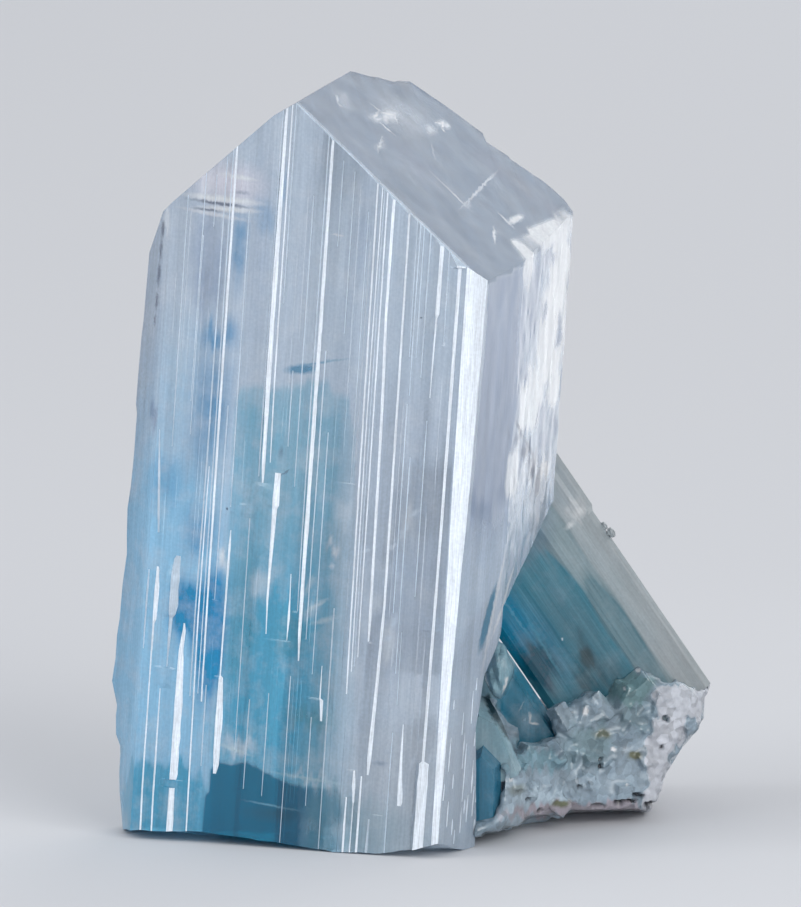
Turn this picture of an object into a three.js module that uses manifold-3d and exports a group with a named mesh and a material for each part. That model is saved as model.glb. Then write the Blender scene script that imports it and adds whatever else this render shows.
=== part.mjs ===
// A euclase crystal group: one tall striated prism, a second prism leaning behind it, a cluster
// of small crystals at their foot, and the scrap of granular matrix that they grew on.
// Millimetres, +Z up. The group stands on z = 0, centred on the middle of its box.

import * as THREE from 'three';
import { mergeVertices } from 'three/addons/utils/BufferGeometryUtils.js';
import Module from 'manifold-3d';

// ---- The tall prism ------------------------------------------------------------------------
// Its own axes: x runs across the broad face from the ridge line, y goes into the crystal and
// z runs along it. The foot line of the broad face's right edge is the group's working origin.

const TALL_LEAN = 4;            // degrees, the top leans towards +X
const TALL_YAW = 22;            // degrees, the broad face turns towards -X
const TALL_FOOT_X = 11.01;      // ridge line to the working origin, across the broad face
const TALL_TIP = 38.53;         // working origin to the front end of the ridge, along the prism
const TALL_STOCK = 50;          // length that the prism is cut from
const TALL_STOCK_BELOW = 4;

const ROOF_RIGHT = 0.7396;      // fall of the right-hand roof face for each mm across
const ROOF_LEFT = 0.914;        // fall of the left-hand roof face
const ROOF_BACK = 0.149;        // rise of both roof faces for each mm into the crystal
const SHOULDER_X = -7.55;       // where the left roof face breaks into the steep shoulder
const SHOULDER_FALL = 2.6;      // fall of the shoulder for each mm to the left

const BROAD_LEFT = -6.52;       // left edge of the broad face
const BROAD_RIGHT = 9.9;        // right edge of the broad face
const BAND_RUN = [1.25, 0.68];  // the narrow facet at the broad face's right edge: across, in
const MID_FACE = [0.11, 4.84];  // the plain side facet behind it: across, in
const TALL_BACK = [             // the rest of the outline, from the right-hand back edge
  [10.6, 13.7],
  [9.9, 14.05],
  [8.7, 13.85],
  [5.9, 12.55],
  [5.45, 12.95],
  [1.8, 11.35],
  [1.5, 10.4],
  [1.38, 9.95],
  [0, 7.12],
  [-1.9, 6.5],
  [-2.05, 6.25],
  [-4.5, 5.75],
  [-4.6, 5.55],
  [-6.31, 5.26],
  [-8.42, 3.68],
  [-8.42, 1.58],
];

const STEP_SLOPE = 0.52;        // depth of a growth step for each mm of its width
const STEPS = [                 // growth steps down the broad face: place across, width
  [-3.52, 0.12],
  [-3.05, 0.2],
  [-2.16, 0.14],
  [-0.47, 0.28],
  [2.21, 0.28],
  [4.94, 0.14],
  [5.4, 0.14],
  [5.89, 0.22],
  [6.79, 0.28],
  [7.36, 0.14],
  [8.68, 0.18],
];

const LATHS = [                 // raised laths on the broad face: left, right, bottom, top
  [-5.6, -5.1, 10.6, 14.1],
  [-5.25, -4.9, 2.9, 10.4],
  [-5.75, -5.3, -0.2, 1.9],
  [-2.55, -2.2, 4.0, 12.6],
  [0.2, 0.62, 8.6, 19.2],
  [5.35, 5.7, 0.9, 3.3],
  [8.05, 8.5, 0.6, 5.2],
  [9.0, 9.45, 0.2, 4.1],
];
const LATH_HEIGHT = 0.14;
const LATH_ROOT = 0.3;          // how deep a lath is set into the face

// ---- The undercut behind the tall prism's right-hand foot, where the second prism passes ----

const UNDERCUT_LEFT = 5.2;      // where the undercut starts, across the broad face
const UNDERCUT_WALL = [         // its wall, as depth and height, from below the foot upwards
  [3.6, -10],
  [3.6, 1.5],
  [3.0, 6.5],
  [4.1, 9.2],
  [5.9, 11.3],
];
const UNDERCUT_RISE = 0.61;     // rise of its roof for each mm into the crystal
const UNDERCUT_DEEP = 30;       // far enough in to run out behind the crystal
const UNDERCUT_ACROSS = 20;     // far enough across to run out at the side
const RIM_BEVEL = { point: [10.95, 9.3, 14.7], normal: [0.8, 0.37, -0.51] };
const RIM_BEVEL_REACH = { low: [9, 5.9, 10], high: [14, 16, 20] };

// ---- Chips: under the broad face's foot, and one in the right-hand side face ----------------

const FOOT_CHIPS = [            // a point on each chipped face, its normal
  { point: [-5, 2, 0], normal: [-0.095, -0.1, -1] },
  { point: [-4.2, 1.7, 0], normal: [0.125, -0.1625, -1] },
  { point: [-17.18, 8.73, 7.85], normal: [-1, -0.15, -0.068] },
];
const SIDE_CHIP = { at: [11.25, 7.8, 20.5], size: [0.7, 0.8, 1.9], lean: 20, turn: 40 };

// ---- The leaning prism behind --------------------------------------------------------------
// Its own axes: z along it, x to the upper right, y back.

const LEANER_LEAN = -34.2;      // degrees, the top leans towards -X
const LEANER_TIP_BACK = -3;     // degrees, the top leans back
const LEANER_FOOT = [10.2, 15.0, 6.18];
const LEANER_LENGTH = 18.2;
const LEANER_BELOW = 1.2;
const LEANER_ROOF_DROP = 2.2;   // its roof faces meet this far below its full length
const LEANER_ROOFS = [          // normals of its roof faces
  [0.7, -0.2, 1],
  [-0.9, 0.3, 1],
  [0.1, 1.1, 1],
];
const LEANER_OUTLINE = [
  [-3.95, -1.9],
  [-3.5, -2.5],
  [0.8, -2.95],
  [2.1, -2.35],
  [2.6, -1.65],
  [2.75, -1.65],
  [3.25, -0.95],
  [3.4, -0.95],
  [3.85, -0.2],
  [3.3, 2.4],
  [-1.8, 3.0],
  [-3.95, 1.2],
];

// ---- Small crystals at the foot ------------------------------------------------------------

const SMALL_OUTLINE = [         // shares of the half width and half depth
  [-1, -0.45],
  [-0.3, -1],
  [0.55, -0.9],
  [1, -0.2],
  [0.5, 1],
  [-0.8, 0.8],
];
const SMALL_ROOFS = [
  [1.1, -0.35, 1],
  [-0.8, -0.5, 1],
];
const SMALL_ROOF_DROP = 0.4;    // share of the half width
const SMALL_CRYSTALS = [        // foot, half width and half depth, length, lean and turn
  { foot: [6.5, 12.6, 3.6], half: [0.95, 2.7], length: 6.8, lean: -33.7, turn: 6 },
  { foot: [3.1, 6.9, 3.5], half: [1.2, 2.6], length: 4.2, lean: -9, turn: 24 },
  { foot: [2.45, 6.3, 0.35], half: [1.1, 3.2], length: 6.6, lean: 4, turn: -22 },
  { foot: [3.1, 6.5, 6.9], half: [0.75, 1.3], length: 3.3, lean: 6, turn: -12 },
  { foot: [8.3, 13.2, 4.1], half: [0.9, 1.5], length: 3.6, lean: 20, turn: 30 },
  { foot: [10.6, 14.4, 3.4], half: [0.9, 1.4], length: 3.6, lean: -22, turn: -20 },
];

// ---- The matrix ----------------------------------------------------------------------------

const MATRIX_LUMPS = [          // centre, half sizes
  { at: [7.8, 18.4, 2.8], half: [3.7, 4.2, 4.2] },
  { at: [11.1, 17.9, 5.3], half: [2.3, 3.6, 2.1] },
  { at: [4.4, 13.2, 2.2], half: [2.5, 3.2, 3.0] },
  { at: [3.6, 17.6, 2.4], half: [4.0, 3.6, 3.8] },
  { at: [9.0, 17.2, 1.4], half: [2.2, 2.1, 1.7] },
  { at: [1.6, 11.2, 2.8], half: [3.0, 3.8, 4.4] },
];
const LUMP_CORE = 0.97;         // share of a lump that its smooth core fills
const GRAINS_ON_EACH = 24;
const GRAIN_SIZES = [0.65, 1.25];
const GRAIN_FLATTEST = 0.8;     // least width of a grain across, as a share of its length
const GRAIN_HEIGHT = 0.85;
const GRAIN_DEPTH = 0.86;       // how far out a grain's centre lies, as a share of the lump
const GOLDEN_ANGLE = Math.PI * (3 - Math.sqrt(5));
const FIRST_SEED = 80;
const RANDOM_STEP = 16807;
const RANDOM_RANGE = 2147483647;
const MATRIX_GAP = 0.3;         // gap between the matrix and the crystals

const CUTTER = 200;             // side of the blocks that cut flat faces
const MERGE_DISTANCE = 1e-4;

// ---- Solids --------------------------------------------------------------------------------

const wasm = await Module();
wasm.setup();

function solid(geometry, placement = new THREE.Matrix4()) {
  const bare = geometry.clone().applyMatrix4(placement);
  bare.deleteAttribute('normal');
  bare.deleteAttribute('uv');
  const merged = mergeVertices(bare, MERGE_DISTANCE);
  return new wasm.Manifold(new wasm.Mesh({
    numProp: 3,
    vertProperties: new Float32Array(merged.attributes.position.array),
    triVerts: new Uint32Array(merged.index.array),
  }));
}

function geometryOf(manifold) {
  const { vertProperties, triVerts } = manifold.getMesh();
  const geometry = new THREE.BufferGeometry();
  geometry.setAttribute('position', new THREE.BufferAttribute(vertProperties, 3));
  geometry.setIndex(new THREE.BufferAttribute(triVerts, 1));
  geometry.computeVertexNormals();
  return geometry;
}

function placement(position, leanDegrees, turnDegrees, backDegrees = 0) {
  const angles = [backDegrees, leanDegrees, turnDegrees].map(THREE.MathUtils.degToRad);
  const matrix = new THREE.Matrix4().makeRotationFromEuler(new THREE.Euler(...angles));
  return matrix.setPosition(...position);
}

function prism(outline, bottom, top) {
  const shape = new THREE.Shape(outline.map(([x, y]) => new THREE.Vector2(x, y)));
  const geometry = new THREE.ExtrudeGeometry(shape, { depth: top - bottom, bevelEnabled: false });
  return geometry.translate(0, 0, bottom);
}

// A block that fills the side of a plane that its normal points to.
function beyond(point, normal) {
  const direction = new THREE.Vector3(...normal).normalize();
  const turn = new THREE.Quaternion().setFromUnitVectors(new THREE.Vector3(0, 0, 1), direction);
  const cutter = new THREE.BoxGeometry(CUTTER, CUTTER, CUTTER);
  cutter.translate(0, 0, CUTTER / 2).applyQuaternion(turn);
  return cutter.translate(...point);
}

function block({ low, high }) {
  const size = high.map((end, axis) => end - low[axis]);
  const middle = high.map((end, axis) => (end + low[axis]) / 2);
  return new THREE.BoxGeometry(...size).translate(...middle);
}

// An outline moved outwards by a gap: each corner goes to where its two moved edges meet.
function grown(outline, gap) {
  const area = THREE.ShapeUtils.area(outline.map(([x, y]) => new THREE.Vector2(x, y)));
  const side = Math.sign(area) * gap;
  const count = outline.length;
  return outline.map(([x, y], i) => {
    const before = outline[(i + count - 1) % count];
    const after = outline[(i + 1) % count];
    const a = new THREE.Vector2(x - before[0], y - before[1]).normalize();
    const b = new THREE.Vector2(after[0] - x, after[1] - y).normalize();
    const middle = new THREE.Vector2(a.y + b.y, -a.x - b.x);
    middle.multiplyScalar(2 * side / middle.lengthSq());
    return [x + middle.x, y + middle.y];
  });
}

// ---- The tall prism ------------------------------------------------------------------------

const tallPlace = placement([0, 0, 0], TALL_LEAN, -TALL_YAW)
  .multiply(new THREE.Matrix4().makeTranslation(-TALL_FOOT_X, 0, 0));

// The broad face climbs gently to each growth step and drops back over it.
function broadFace() {
  const points = [[BROAD_LEFT, 0]];
  for (const [place, width] of STEPS) {
    points.push([place - width / 2, -width * STEP_SLOPE]);
    points.push([place + width / 2, 0]);
  }
  points.push([BROAD_RIGHT, 0]);
  return points;
}

function tallOutline(front) {
  const band = [BROAD_RIGHT + BAND_RUN[0], BAND_RUN[1]];
  const mid = [band[0] + MID_FACE[0], band[1] + MID_FACE[1]];
  return [...front, band, mid, ...TALL_BACK];
}

// A lath is drawn in side view, as height and depth, and swept across its width.
function lath([left, right, bottom, top]) {
  const slope = right - left;
  const outline = [
    [bottom, LATH_ROOT],
    [bottom, 0],
    [bottom + slope, -LATH_HEIGHT],
    [top, -LATH_HEIGHT],
    [top + slope, 0],
    [top + slope, LATH_ROOT],
  ];
  const shape = new THREE.Shape(outline.map(([z, y]) => new THREE.Vector2(z, y)));
  const strip = new THREE.ExtrudeGeometry(shape, { depth: right - left, bevelEnabled: false });
  const upright = new THREE.Matrix4().makeBasis(
    new THREE.Vector3(0, 0, 1), new THREE.Vector3(0, 1, 0), new THREE.Vector3(-1, 0, 0));
  return strip.applyMatrix4(upright).translate(right, 0, 0);
}

// The side view of the undercut, as depth and height, swept across the crystal.
function undercut() {
  const [wallTop, roofStart] = UNDERCUT_WALL[UNDERCUT_WALL.length - 1];
  const roofEnd = roofStart + (UNDERCUT_DEEP - wallTop) * UNDERCUT_RISE;
  const low = UNDERCUT_WALL[0][1];
  const outline = [...UNDERCUT_WALL, [UNDERCUT_DEEP, roofEnd], [UNDERCUT_DEEP, low]];
  const shape = new THREE.Shape(outline.map(([y, z]) => new THREE.Vector2(y, z)));
  const wedge = new THREE.ExtrudeGeometry(shape, { depth: UNDERCUT_ACROSS, bevelEnabled: false });
  const across = new THREE.Matrix4().makeBasis(
    new THREE.Vector3(0, 1, 0), new THREE.Vector3(0, 0, 1), new THREE.Vector3(1, 0, 0));
  return wedge.applyMatrix4(across).translate(UNDERCUT_LEFT, 0, 0);
}

function tallPrism(gap = 0) {
  const front = gap ? [[BROAD_LEFT, 0], [BROAD_RIGHT, 0]] : broadFace();
  const outline = tallOutline(front);
  const section = gap ? grown(outline, gap) : outline;
  let body = solid(prism(section, -TALL_STOCK_BELOW, TALL_STOCK));
  const shoulderZ = TALL_TIP + ROOF_LEFT * SHOULDER_X;
  body = body.subtract(solid(beyond([0, 0, TALL_TIP], [ROOF_RIGHT, -ROOF_BACK, 1])));
  body = body.subtract(solid(beyond([0, 0, TALL_TIP], [-ROOF_LEFT, -ROOF_BACK, 1])));
  body = body.subtract(solid(beyond([SHOULDER_X, 0, shoulderZ], [-SHOULDER_FALL, -ROOF_BACK, 1])));
  const cut = gap ? undercut().translate(gap, gap, -gap) : undercut();
  body = body.subtract(solid(cut));
  if (gap) return solid(geometryOf(body), tallPlace);
  for (const row of LATHS) body = body.add(solid(lath(row)));
  const chip = new THREE.BoxGeometry(...SIDE_CHIP.size);
  body = body.subtract(solid(chip, placement(SIDE_CHIP.at, SIDE_CHIP.lean, SIDE_CHIP.turn)));
  const bevel = solid(beyond(RIM_BEVEL.point, RIM_BEVEL.normal));
  body = body.subtract(bevel.intersect(solid(block(RIM_BEVEL_REACH))));
  body = solid(geometryOf(body), tallPlace);
  return FOOT_CHIPS.reduce(
    (rest, { point, normal }) => rest.subtract(solid(beyond(point, normal))), body);
}

// ---- The leaning prism and the small crystals ----------------------------------------------

function roofed(body, height, normals) {
  return normals.reduce(
    (rest, normal) => rest.subtract(solid(beyond([0, 0, height], normal))), body);
}

function leaningPrism(gap = 0) {
  const place = placement(LEANER_FOOT, LEANER_LEAN, 0, LEANER_TIP_BACK);
  const outline = gap ? grown(LEANER_OUTLINE, gap) : LEANER_OUTLINE;
  const body = solid(prism(outline, -LEANER_BELOW - gap, LEANER_LENGTH));
  return solid(geometryOf(roofed(body, LEANER_LENGTH - LEANER_ROOF_DROP, LEANER_ROOFS)), place);
}

function smallCrystal({ foot, half, length, lean, turn }, gap = 0) {
  const outline = SMALL_OUTLINE.map(([x, y]) => [x * half[0], y * half[1]]);
  const section = gap ? grown(outline, gap) : outline;
  const top = length + gap;
  const body = roofed(solid(prism(section, -gap, top)), top - half[0] * SMALL_ROOF_DROP, SMALL_ROOFS);
  return solid(geometryOf(body), placement(foot, lean, turn));
}

// ---- The matrix ----------------------------------------------------------------------------

// Numbers between 0 and 1 that come out the same each time.
function sequence(seed) {
  let state = (seed * RANDOM_STEP * RANDOM_STEP) % RANDOM_RANGE;
  return () => {
    state = (state * RANDOM_STEP) % RANDOM_RANGE;
    return state / RANDOM_RANGE;
  };
}

function matrixLump({ at, half }, seed) {
  const next = sequence(seed);
  const core = new THREE.IcosahedronGeometry(1, 1);
  let body = solid(core.scale(...half.map((size) => size * LUMP_CORE)), placement(at, 0, 0));
  for (let i = 0; i < GRAINS_ON_EACH; i += 1) {
    const rise = 1 - 2 * (i + 0.5) / GRAINS_ON_EACH;
    const around = i * GOLDEN_ANGLE + next();
    const level = Math.sqrt(1 - rise * rise);
    const way = [level * Math.cos(around), level * Math.sin(around), rise];
    const spot = way.map((part, axis) => at[axis] + part * half[axis] * GRAIN_DEPTH);
    const size = THREE.MathUtils.lerp(...GRAIN_SIZES, next());
    const across = THREE.MathUtils.lerp(GRAIN_FLATTEST, 1, next());
    const grain = new THREE.DodecahedronGeometry(size).scale(1, across, GRAIN_HEIGHT);
    body = body.add(solid(grain, placement(spot, 360 * next(), 360 * next(), 360 * next())));
  }
  return body;
}

// ---- The group -----------------------------------------------------------------------------

const floorCut = beyond([0, 0, 0], [0, 0, -1]);

const crystals = [leaningPrism(), ...SMALL_CRYSTALS.map((row) => smallCrystal(row))]
  .reduce((all, one) => all.add(one), tallPrism())
  .subtract(solid(floorCut));

const spaces = [tallPrism(MATRIX_GAP), leaningPrism(MATRIX_GAP),
  ...SMALL_CRYSTALS.map((row) => smallCrystal(row, MATRIX_GAP))];

const matrixBody = spaces
  .reduce((rest, space) => rest.subtract(space),
    MATRIX_LUMPS.map((row, i) => matrixLump(row, FIRST_SEED + i)).reduce((all, one) => all.add(one)))
  .subtract(solid(floorCut));

const crystalMaterial = new THREE.MeshStandardMaterial({
  color: 0xaec4d4,
  roughness: 0.12,
  metalness: 0,
});
const matrixMaterial = new THREE.MeshStandardMaterial({
  color: 0xb7b4b2,
  roughness: 0.8,
  metalness: 0,
});

const crystalMesh = new THREE.Mesh(geometryOf(crystals), crystalMaterial);
crystalMesh.name = 'euclase_crystals';
const matrixMesh = new THREE.Mesh(geometryOf(matrixBody), matrixMaterial);
matrixMesh.name = 'matrix';

const group = new THREE.Group();
group.add(crystalMesh, matrixMesh);

const box = new THREE.Box3().setFromObject(group);
const middle = box.getCenter(new THREE.Vector3());
group.position.set(-middle.x, -middle.y, -box.min.z);

export default group;
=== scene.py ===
# A euclase crystal group: a tall striated prism of pale blue euclase, a teal prism leaning out from
# behind it, small crystals at their foot, and the scrap of granular rock that they all grew on.
import math
import random

import bmesh
import bpy
import numpy as np
from mathutils import Matrix, Vector, noise


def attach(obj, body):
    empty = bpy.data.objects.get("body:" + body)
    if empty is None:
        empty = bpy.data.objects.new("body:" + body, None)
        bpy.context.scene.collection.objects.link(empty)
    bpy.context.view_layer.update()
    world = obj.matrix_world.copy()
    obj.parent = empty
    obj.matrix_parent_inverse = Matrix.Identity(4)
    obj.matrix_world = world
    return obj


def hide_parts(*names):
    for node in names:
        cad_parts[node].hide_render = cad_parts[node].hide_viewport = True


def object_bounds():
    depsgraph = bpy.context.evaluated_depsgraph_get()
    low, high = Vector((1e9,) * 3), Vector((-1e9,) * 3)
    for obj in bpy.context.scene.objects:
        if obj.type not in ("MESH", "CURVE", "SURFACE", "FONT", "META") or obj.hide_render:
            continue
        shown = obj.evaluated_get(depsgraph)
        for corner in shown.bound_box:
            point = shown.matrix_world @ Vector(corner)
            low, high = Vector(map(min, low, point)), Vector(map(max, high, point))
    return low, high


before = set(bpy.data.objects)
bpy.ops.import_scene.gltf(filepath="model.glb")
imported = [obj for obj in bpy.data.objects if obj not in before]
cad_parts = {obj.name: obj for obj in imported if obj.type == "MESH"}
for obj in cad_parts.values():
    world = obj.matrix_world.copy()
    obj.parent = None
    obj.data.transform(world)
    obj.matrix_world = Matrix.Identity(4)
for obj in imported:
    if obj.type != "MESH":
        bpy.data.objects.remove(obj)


# ---- Studio -------------------------------------------------------------------------------------
# A wide sheet of matt off-white paper lies under the group. Large soft lights stand round it, and
# the camera looks slightly down at the broad face from far off with a long lens.

MM = 0.001
cad_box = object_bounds()


def linear(code):
    """sRGB hex code to linear colour with alpha."""
    parts = [int(code[i:i + 2], 16) / 255 for i in (0, 2, 4)]
    return [p / 12.92 if p <= 0.04045 else ((p + 0.055) / 1.055) ** 2.4 for p in parts] + [1.0]


def add(tree, kind, inputs=None, **settings):
    """Adds a node with its settings; inputs are values, or the sockets that they are linked from."""
    made = tree.nodes.new(kind)
    for name, value in settings.items():
        setattr(made, name, value)
    for socket, value in (inputs or {}).items():
        if isinstance(value, bpy.types.NodeSocket):
            tree.links.new(value, made.inputs[socket])
        else:
            made.inputs[socket].default_value = value
    return made


def new_material(name):
    """An empty node material: its tree, and its output node."""
    made = bpy.data.materials.new(name)
    made.use_nodes = True
    made.node_tree.nodes.clear()
    return made, made.node_tree, add(made.node_tree, "ShaderNodeOutputMaterial")


scene = bpy.context.scene
middle = (cad_box[0] + cad_box[1]) / 2

FLOOR_SIDE = 6.0
FLOOR_DROP = 0.02 * MM
PAPER = "D2D3D6"
TOOTH_SIZE = 6.6667 * MM     # the paper's tooth, far coarser than real so that it shows at all
TOOTH_DEEP = 0.1 * MM
bpy.ops.mesh.primitive_plane_add(size=FLOOR_SIDE, location=(0, 0, -FLOOR_DROP))
floor = bpy.context.object
floor.name = "paper_floor"
# Uncoated paper: matt all over, so it takes soft shadows and shows no reflections.
paper, tree, out = new_material("matt_off_white_paper")
fibre = add(tree, "ShaderNodeTexNoise", {"Scale": FLOOR_SIDE / TOOTH_SIZE, "Detail": 3.0})
tooth = add(tree, "ShaderNodeBump", {"Height": fibre.outputs["Fac"], "Strength": 0.1,
                                     "Distance": TOOTH_DEEP})
shader = add(tree, "ShaderNodeBsdfPrincipled", {
    "Base Color": linear(PAPER), "Roughness": 0.9, "Specular IOR Level": 0.2,
    "Normal": tooth.outputs["Normal"]})
tree.links.new(shader.outputs["BSDF"], out.inputs["Surface"])
floor.data.materials.append(paper)

ROOM_WHITE = "D6D9DE"
ROOM_LIGHT = 0.85
world = bpy.data.worlds.new("studio")
world.use_nodes = True
background = world.node_tree.nodes["Background"]
background.inputs["Color"].default_value = linear(ROOM_WHITE)
background.inputs["Strength"].default_value = ROOM_LIGHT
scene.world = world

SOFT_LIGHTS = [  # name, azimuth and height in degrees, distance and size in metres, power in watts
    ("key_softbox", 32, 24, 0.70, 0.45, 2.6),
    ("left_softbox", -62, 30, 0.75, 0.50, 2.2),
    ("rear_softbox", 155, 30, 0.70, 0.40, 0.8),
]
REFLECTOR_CARDS = [  # name, direction from the group, distance and size in metres, power in watts
    ("front_card", (0.193, -0.968, -0.10), 0.070, (0.05, 0.045), 0.015),
    ("right_card", (0.668, 0.720, -0.05), 0.085, (0.07, 0.050), 0.012),
]


def panel(name, way, distance, size, power):
    """A soft flat light that faces the group from a direction, and that the camera doesn't see."""
    lamp = bpy.data.lights.new(name, "AREA")
    lamp.shape = "RECTANGLE"
    lamp.size, lamp.size_y = size
    lamp.energy = power
    holder = bpy.data.objects.new(name, lamp)
    scene.collection.objects.link(holder)
    holder.location = middle + way * distance
    holder.rotation_mode = "QUATERNION"
    holder.rotation_quaternion = way.to_track_quat("Z", "Y")
    holder.visible_camera = False
    return holder


for name, azimuth, height, distance, side, power in SOFT_LIGHTS:
    round_by, rise = math.radians(azimuth), math.radians(height)
    level = math.cos(rise)
    way = Vector((math.sin(round_by) * level, -math.cos(round_by) * level, math.sin(rise)))
    panel(name, way, distance, (side, side), power)
for name, way, distance, size, power in REFLECTOR_CARDS:
    card = panel(name, Vector(way).normalized(), distance, size, power)
    card.visible_diffuse = False
    card.visible_transmission = False

LENS = 600.0
SENSOR = 36.0
VIEW_HEIGHT = 47.7 * MM      # height of the picture at the group
CAMERA_TILT = 8.0            # degrees that the camera looks down
VIEW_SHIFT = Vector((-0.58, 0, -0.30)) * MM
FAR_CLIP = 10.0
LIGHT_BOUNCES = 8            # enough to pass in and out of several crystals
GLARE_LIMIT = 6.0            # keeps stray bright points out of the crystals
target = middle + VIEW_SHIFT
camera = bpy.data.objects.new("camera", bpy.data.cameras.new("camera"))
scene.collection.objects.link(camera)
camera.data.lens = LENS
camera.data.sensor_width = SENSOR
camera.data.clip_end = FAR_CLIP
tilt = math.radians(CAMERA_TILT)
back = Vector((0, -math.cos(tilt), math.sin(tilt)))
camera.location = target + back * (VIEW_HEIGHT * LENS / SENSOR)
camera.rotation_mode = "QUATERNION"
camera.rotation_quaternion = (-back).to_track_quat("-Z", "Y")
scene.camera = camera
scene.view_settings.view_transform = "Standard"
scene.cycles.max_bounces = LIGHT_BOUNCES
scene.cycles.transmission_bounces = LIGHT_BOUNCES
scene.cycles.sample_clamp_indirect = GLARE_LIMIT


# ---- The tall prism -----------------------------------------------------------------------------
# One crystal of pale blue euclase, grown layer on layer: its broad face ends in many narrow steps,
# which run the whole way up it as bright striations. It was broken off its rock at the foot.

# Its own axes, in mm: x across the broad face from the ridge line, y into it, z along the prism.
TALL_LEAN = 4.0              # degrees that it leans to the right
TALL_YAW = 22.0              # degrees that its broad face is turned to the left
TALL_FOOT_X = 11.01
RIDGE_FRONT = 38.53          # height of the ridge's front end
RIDGE_BACK = Vector((0, 7.12, 39.591)) * MM
ROOF_RIGHT = (0.7396, -0.149, 1)
ROOF_LEFT = (-0.96, -0.149, 1)
ROOF_LEFT_TOP = (-0.65, -0.149, 1)
ROOF_LEFT_BREAK = (-1.2, 0, 37.72)
SHOULDER = (-2.6, -0.149, 1)
SHOULDER_AT = (-7.3, 0, 31.95)
EDGE_WEAR = 0.07             # how far the sharp edge under the right roof face is worn back
EDGE_FACET = (0.59, -0.92, 0.8)
TALL_HEIGHTS = (-1.2, 40.4)
ROW_STEP = 0.25
ROW_LEAST = 0.04             # rows that are closer to the next one are left out
COLUMN_STEP = 0.22

BROAD_LEFT = -6.52
LEFT_EDGE = [(-1, -6.95), (0, -7.1), (1, -7.28), (2, -7.37), (3, -7.38), (3.4, -7.42), (4, -7.7),
             (5, -7.78), (5.5, -7.75), (6.1, -7.92), (6.8, -8.12), (8, -8.02), (9.2, -8.03),
             (10.2, -7.94), (12, -7.9), (13.6, -7.78), (14.6, -7.86), (16, -7.92), (17.2, -7.82),
             (19, -7.76), (21.2, -7.75), (21.4, -7.84), (23, -7.83), (25, -7.8), (26, -7.74),
             (28, -7.7), (30, -7.66), (31, -7.6), (42, -7.6)]
BEVEL_DEEP = 1.58            # depth of the left bevel's far edge
SIGHT_SLANT = 0.404          # how far a point seems to move across for each mm into the crystal
BAND_LEFT = [(-1, 10.43), (5, 10.38), (10, 10.31), (20, 10.18), (31, 10.13)]
BAND_RIGHT = [(-1, 10.7), (5, 10.75), (10, 10.8), (15, 10.88), (20, 11.0), (25, 11.05), (31, 11.12)]
BAND_SLOPE = 0.54
BAND_GAP_DEPTH = 0.05
BAND_COLUMNS = 5
BAND_CELL = 0.2
MID_CORNER = (11.26, 5.52)
BACK_OUTLINE = [(10.6, 13.7), (9.9, 14.05), (8.7, 13.85), (7.1, 13.05), (6.9, 13.1), (5.9, 12.55),
                (5.45, 12.95), (3.9, 12.4), (1.8, 11.35), (1.5, 10.4), (1.38, 9.95), (0, 7.12),
                (-1.9, 6.5), (-2.05, 6.25), (-4.5, 5.75), (-4.6, 5.55), (-6.31, 5.26), (-8.42, 3.68)]

STEP_SLOPE = 0.52            # depth of a growth step for each mm of its width
WHITE, PALE, FINE = 1, 2, 0  # finish of a step: satin white, half frosted, clear
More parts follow.
